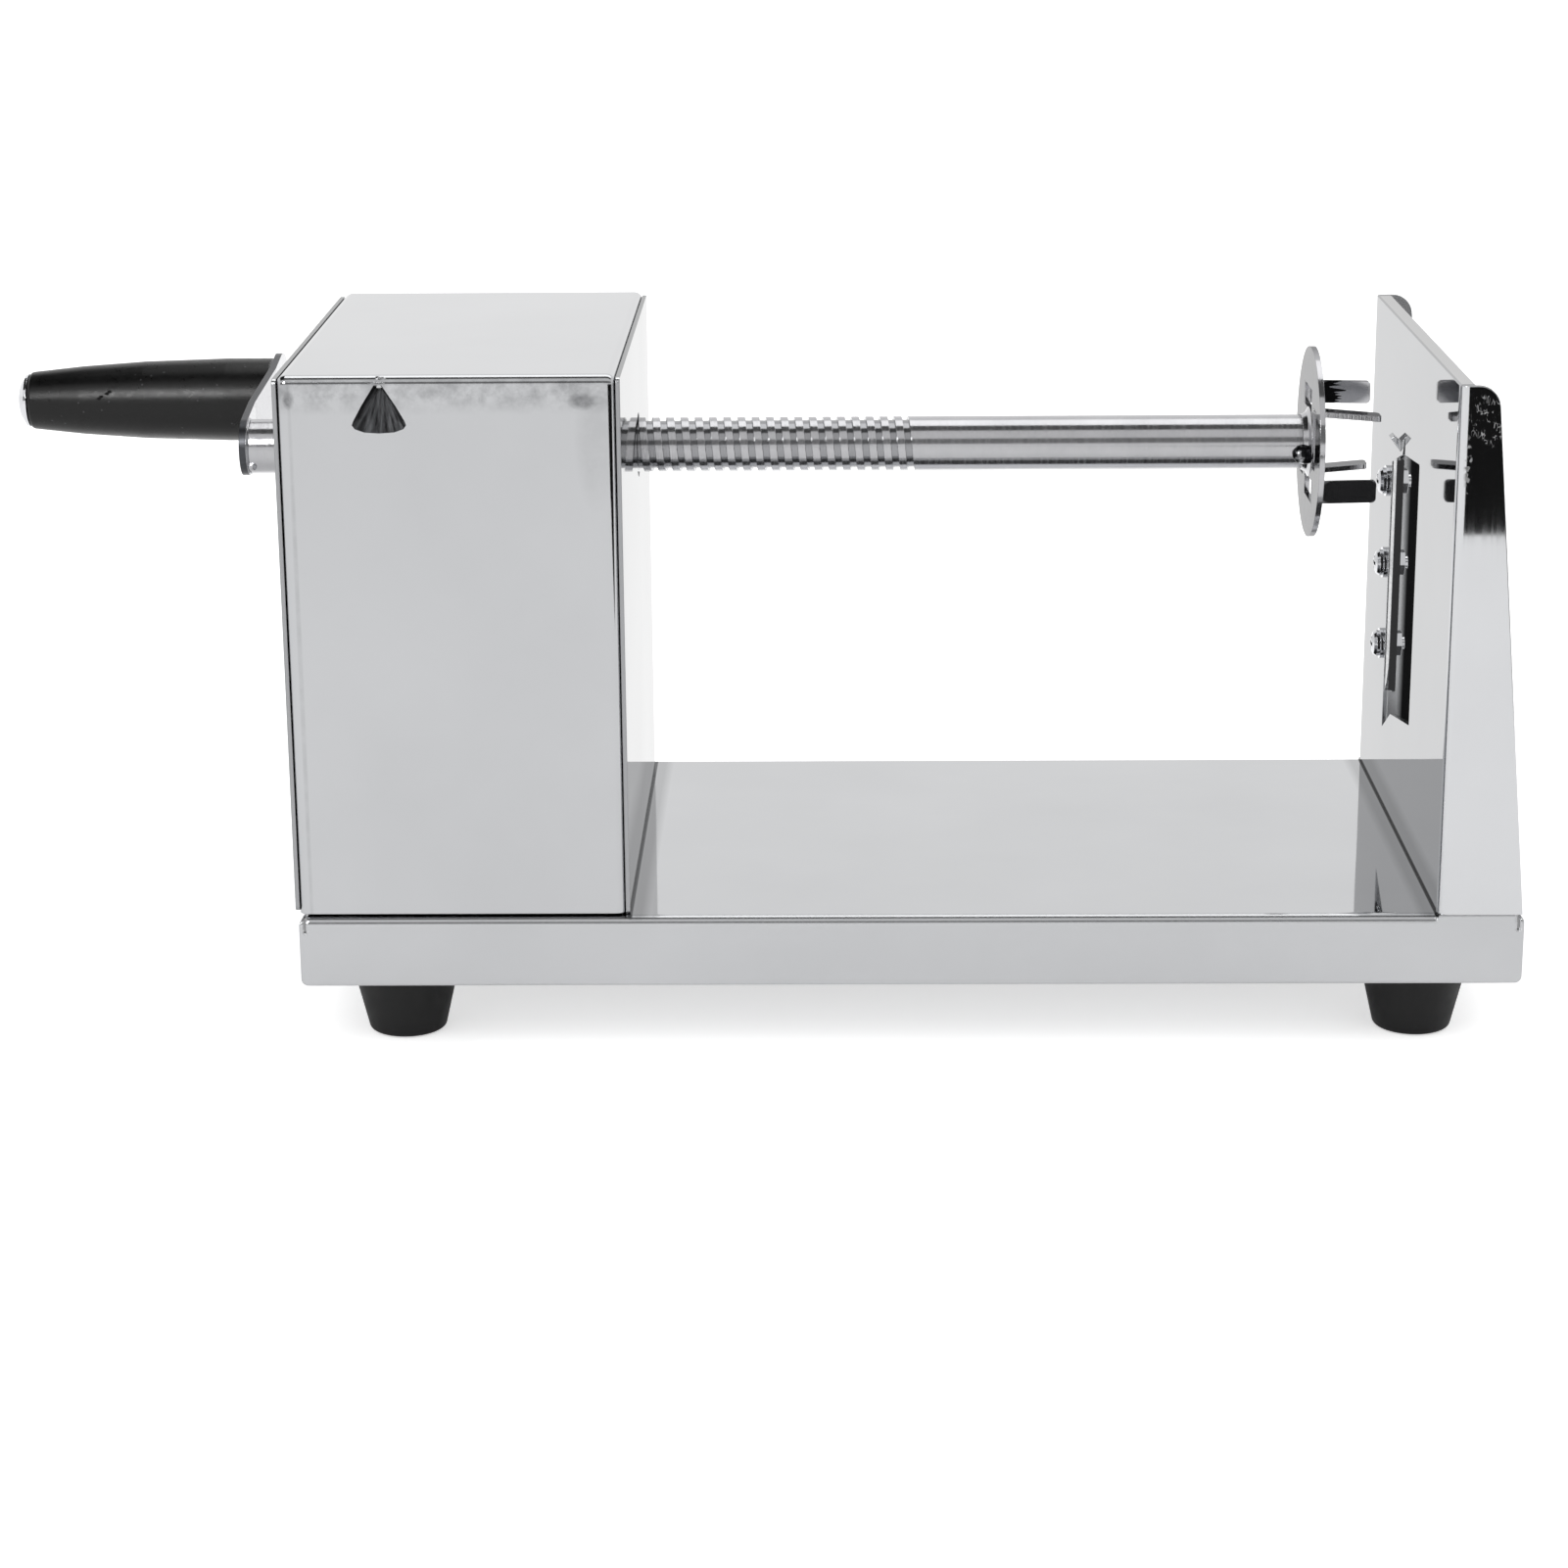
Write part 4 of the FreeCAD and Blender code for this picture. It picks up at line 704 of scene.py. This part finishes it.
# cards that only the metal and plastic see, as beside any shiny object in a studio
cards = {
    "room card": {
        "colour": "#868686", "strength": 1.0,
        "corners": [(-3, -1.6, 0.38), (3, -1.6, 0.38), (3, -1.6, 1.10), (-3, -1.6, 1.10)]},
    "front light": {
        "colour": "#FFFFFF", "strength": 0.85,
        "corners": [(-3, -1.6, 1.12), (3, -1.6, 1.12), (3, -1.04, 2.42), (-3, -1.04, 2.42)]},
    "gap card": {
        "colour": "#626262", "strength": 1.0,
        "corners": [(-3, -1.04, 2.42), (3, -1.04, 2.42), (3, 0.05, 2.42), (-3, 0.05, 2.42)]},
    "overhead light": {
        "colour": "#FFFFFF", "strength": 1.8,
        "corners": [(-0.62, 0.05, 2.4), (2, 0.05, 2.4), (2, 1.6, 2.4), (-0.62, 1.6, 2.4)]},
    "handle flag": {
        "colour": "#2A2A2A", "strength": 1.0,
        "corners": [(-2.6, -0.9, 2.39), (-0.62, -0.9, 2.39), (-0.62, 2.4, 2.39),
                    (-2.6, 2.4, 2.39)]},
    "floor light behind": {
        "colour": "#FFFFFF", "strength": 1.35,
        "corners": [(-0.25, 0.12, 0.001), (0.7, 0.12, 0.001), (0.7, 2.4, 0.001),
                    (-0.25, 2.4, 0.001)]},
    "floor card far": {
        "colour": "#1A1A1A", "strength": 1.0,
        "corners": [(0.30, -0.749, 0.001), (1.2, -0.749, 0.001), (1.2, -1.55, 0.001),
                    (0.30, -1.55, 0.001)]},
    "floor card near": {
        "colour": "#1A1A1A", "strength": 1.0,
        "corners": [(0.345, -0.40, 0.001), (1.0, -0.40, 0.001), (1.0, -0.749, 0.001),
                    (0.345, -0.749, 0.001)]},
    "handle light": {
        "colour": "#FFFFFF", "strength": 17.0,
        "corners": [(-0.78, -1.2, 0.62), (-0.38, -1.2, 0.62), (-0.38, -1.2, 1.10),
                    (-0.78, -1.2, 1.10)]},
}
for name, card in cards.items():
    cardMaterial, tree, shader = newMaterial(name)
    shader.inputs["Base Color"].default_value = (0, 0, 0, 1)
    shader.inputs["Specular IOR Level"].default_value = 0.0
    shader.inputs["Emission Color"].default_value = hexColour(card["colour"])
    shader.inputs["Emission Strength"].default_value = card["strength"]
    mesh = bpy.data.meshes.new(name)
    mesh.from_pydata(card["corners"], [], [(0, 1, 2, 3)])
    panel = bpy.data.objects.new(name, mesh)
    scene.collection.objects.link(panel)
    mesh.materials.append(cardMaterial)
    panel.visible_camera = panel.visible_diffuse = panel.visible_shadow = False

# soft lamps for the black pieces and the floor; the metal doesn't mirror them
lampTarget = Vector((0, 0, 0.1))
lampSet = [
    {"place": (-0.9, -1.2, 1.9), "size": 1.6, "power": 9.0},
    {"place": (1.2, 0.3, 1.8), "size": 1.6, "power": 7.0},
]
for lamp in lampSet:
    bpy.ops.object.light_add(type="AREA", location=lamp["place"])
    light = bpy.context.object
    light.data.size = lamp["size"]
    light.data.energy = lamp["power"]
    towards = lampTarget - Vector(lamp["place"])
    light.rotation_euler = towards.to_track_quat("-Z", "Y").to_euler()
    light.visible_glossy = False

# plain white to the eye and to mirrors, a little less as light on the object
worldSet = {"light": 0.72, "seen": 1.0}
world = bpy.data.worlds.new("studio")
scene.world = world
world.use_nodes = True
world.node_tree.nodes.clear()
strength = addNode(world.node_tree, "ShaderNodeMapRange", {
    "Value": straightRays(world.node_tree), "To Min": worldSet["light"],
    "To Max": worldSet["seen"]})
sky = addNode(world.node_tree, "ShaderNodeBackground", {
    "Color": (1, 1, 1, 1), "Strength": strength.outputs[0]})
addNode(world.node_tree, "ShaderNodeOutputWorld", {"Surface": sky.outputs[0]})
scene.view_settings.view_transform = "Standard"
print("camera, floor and light set")
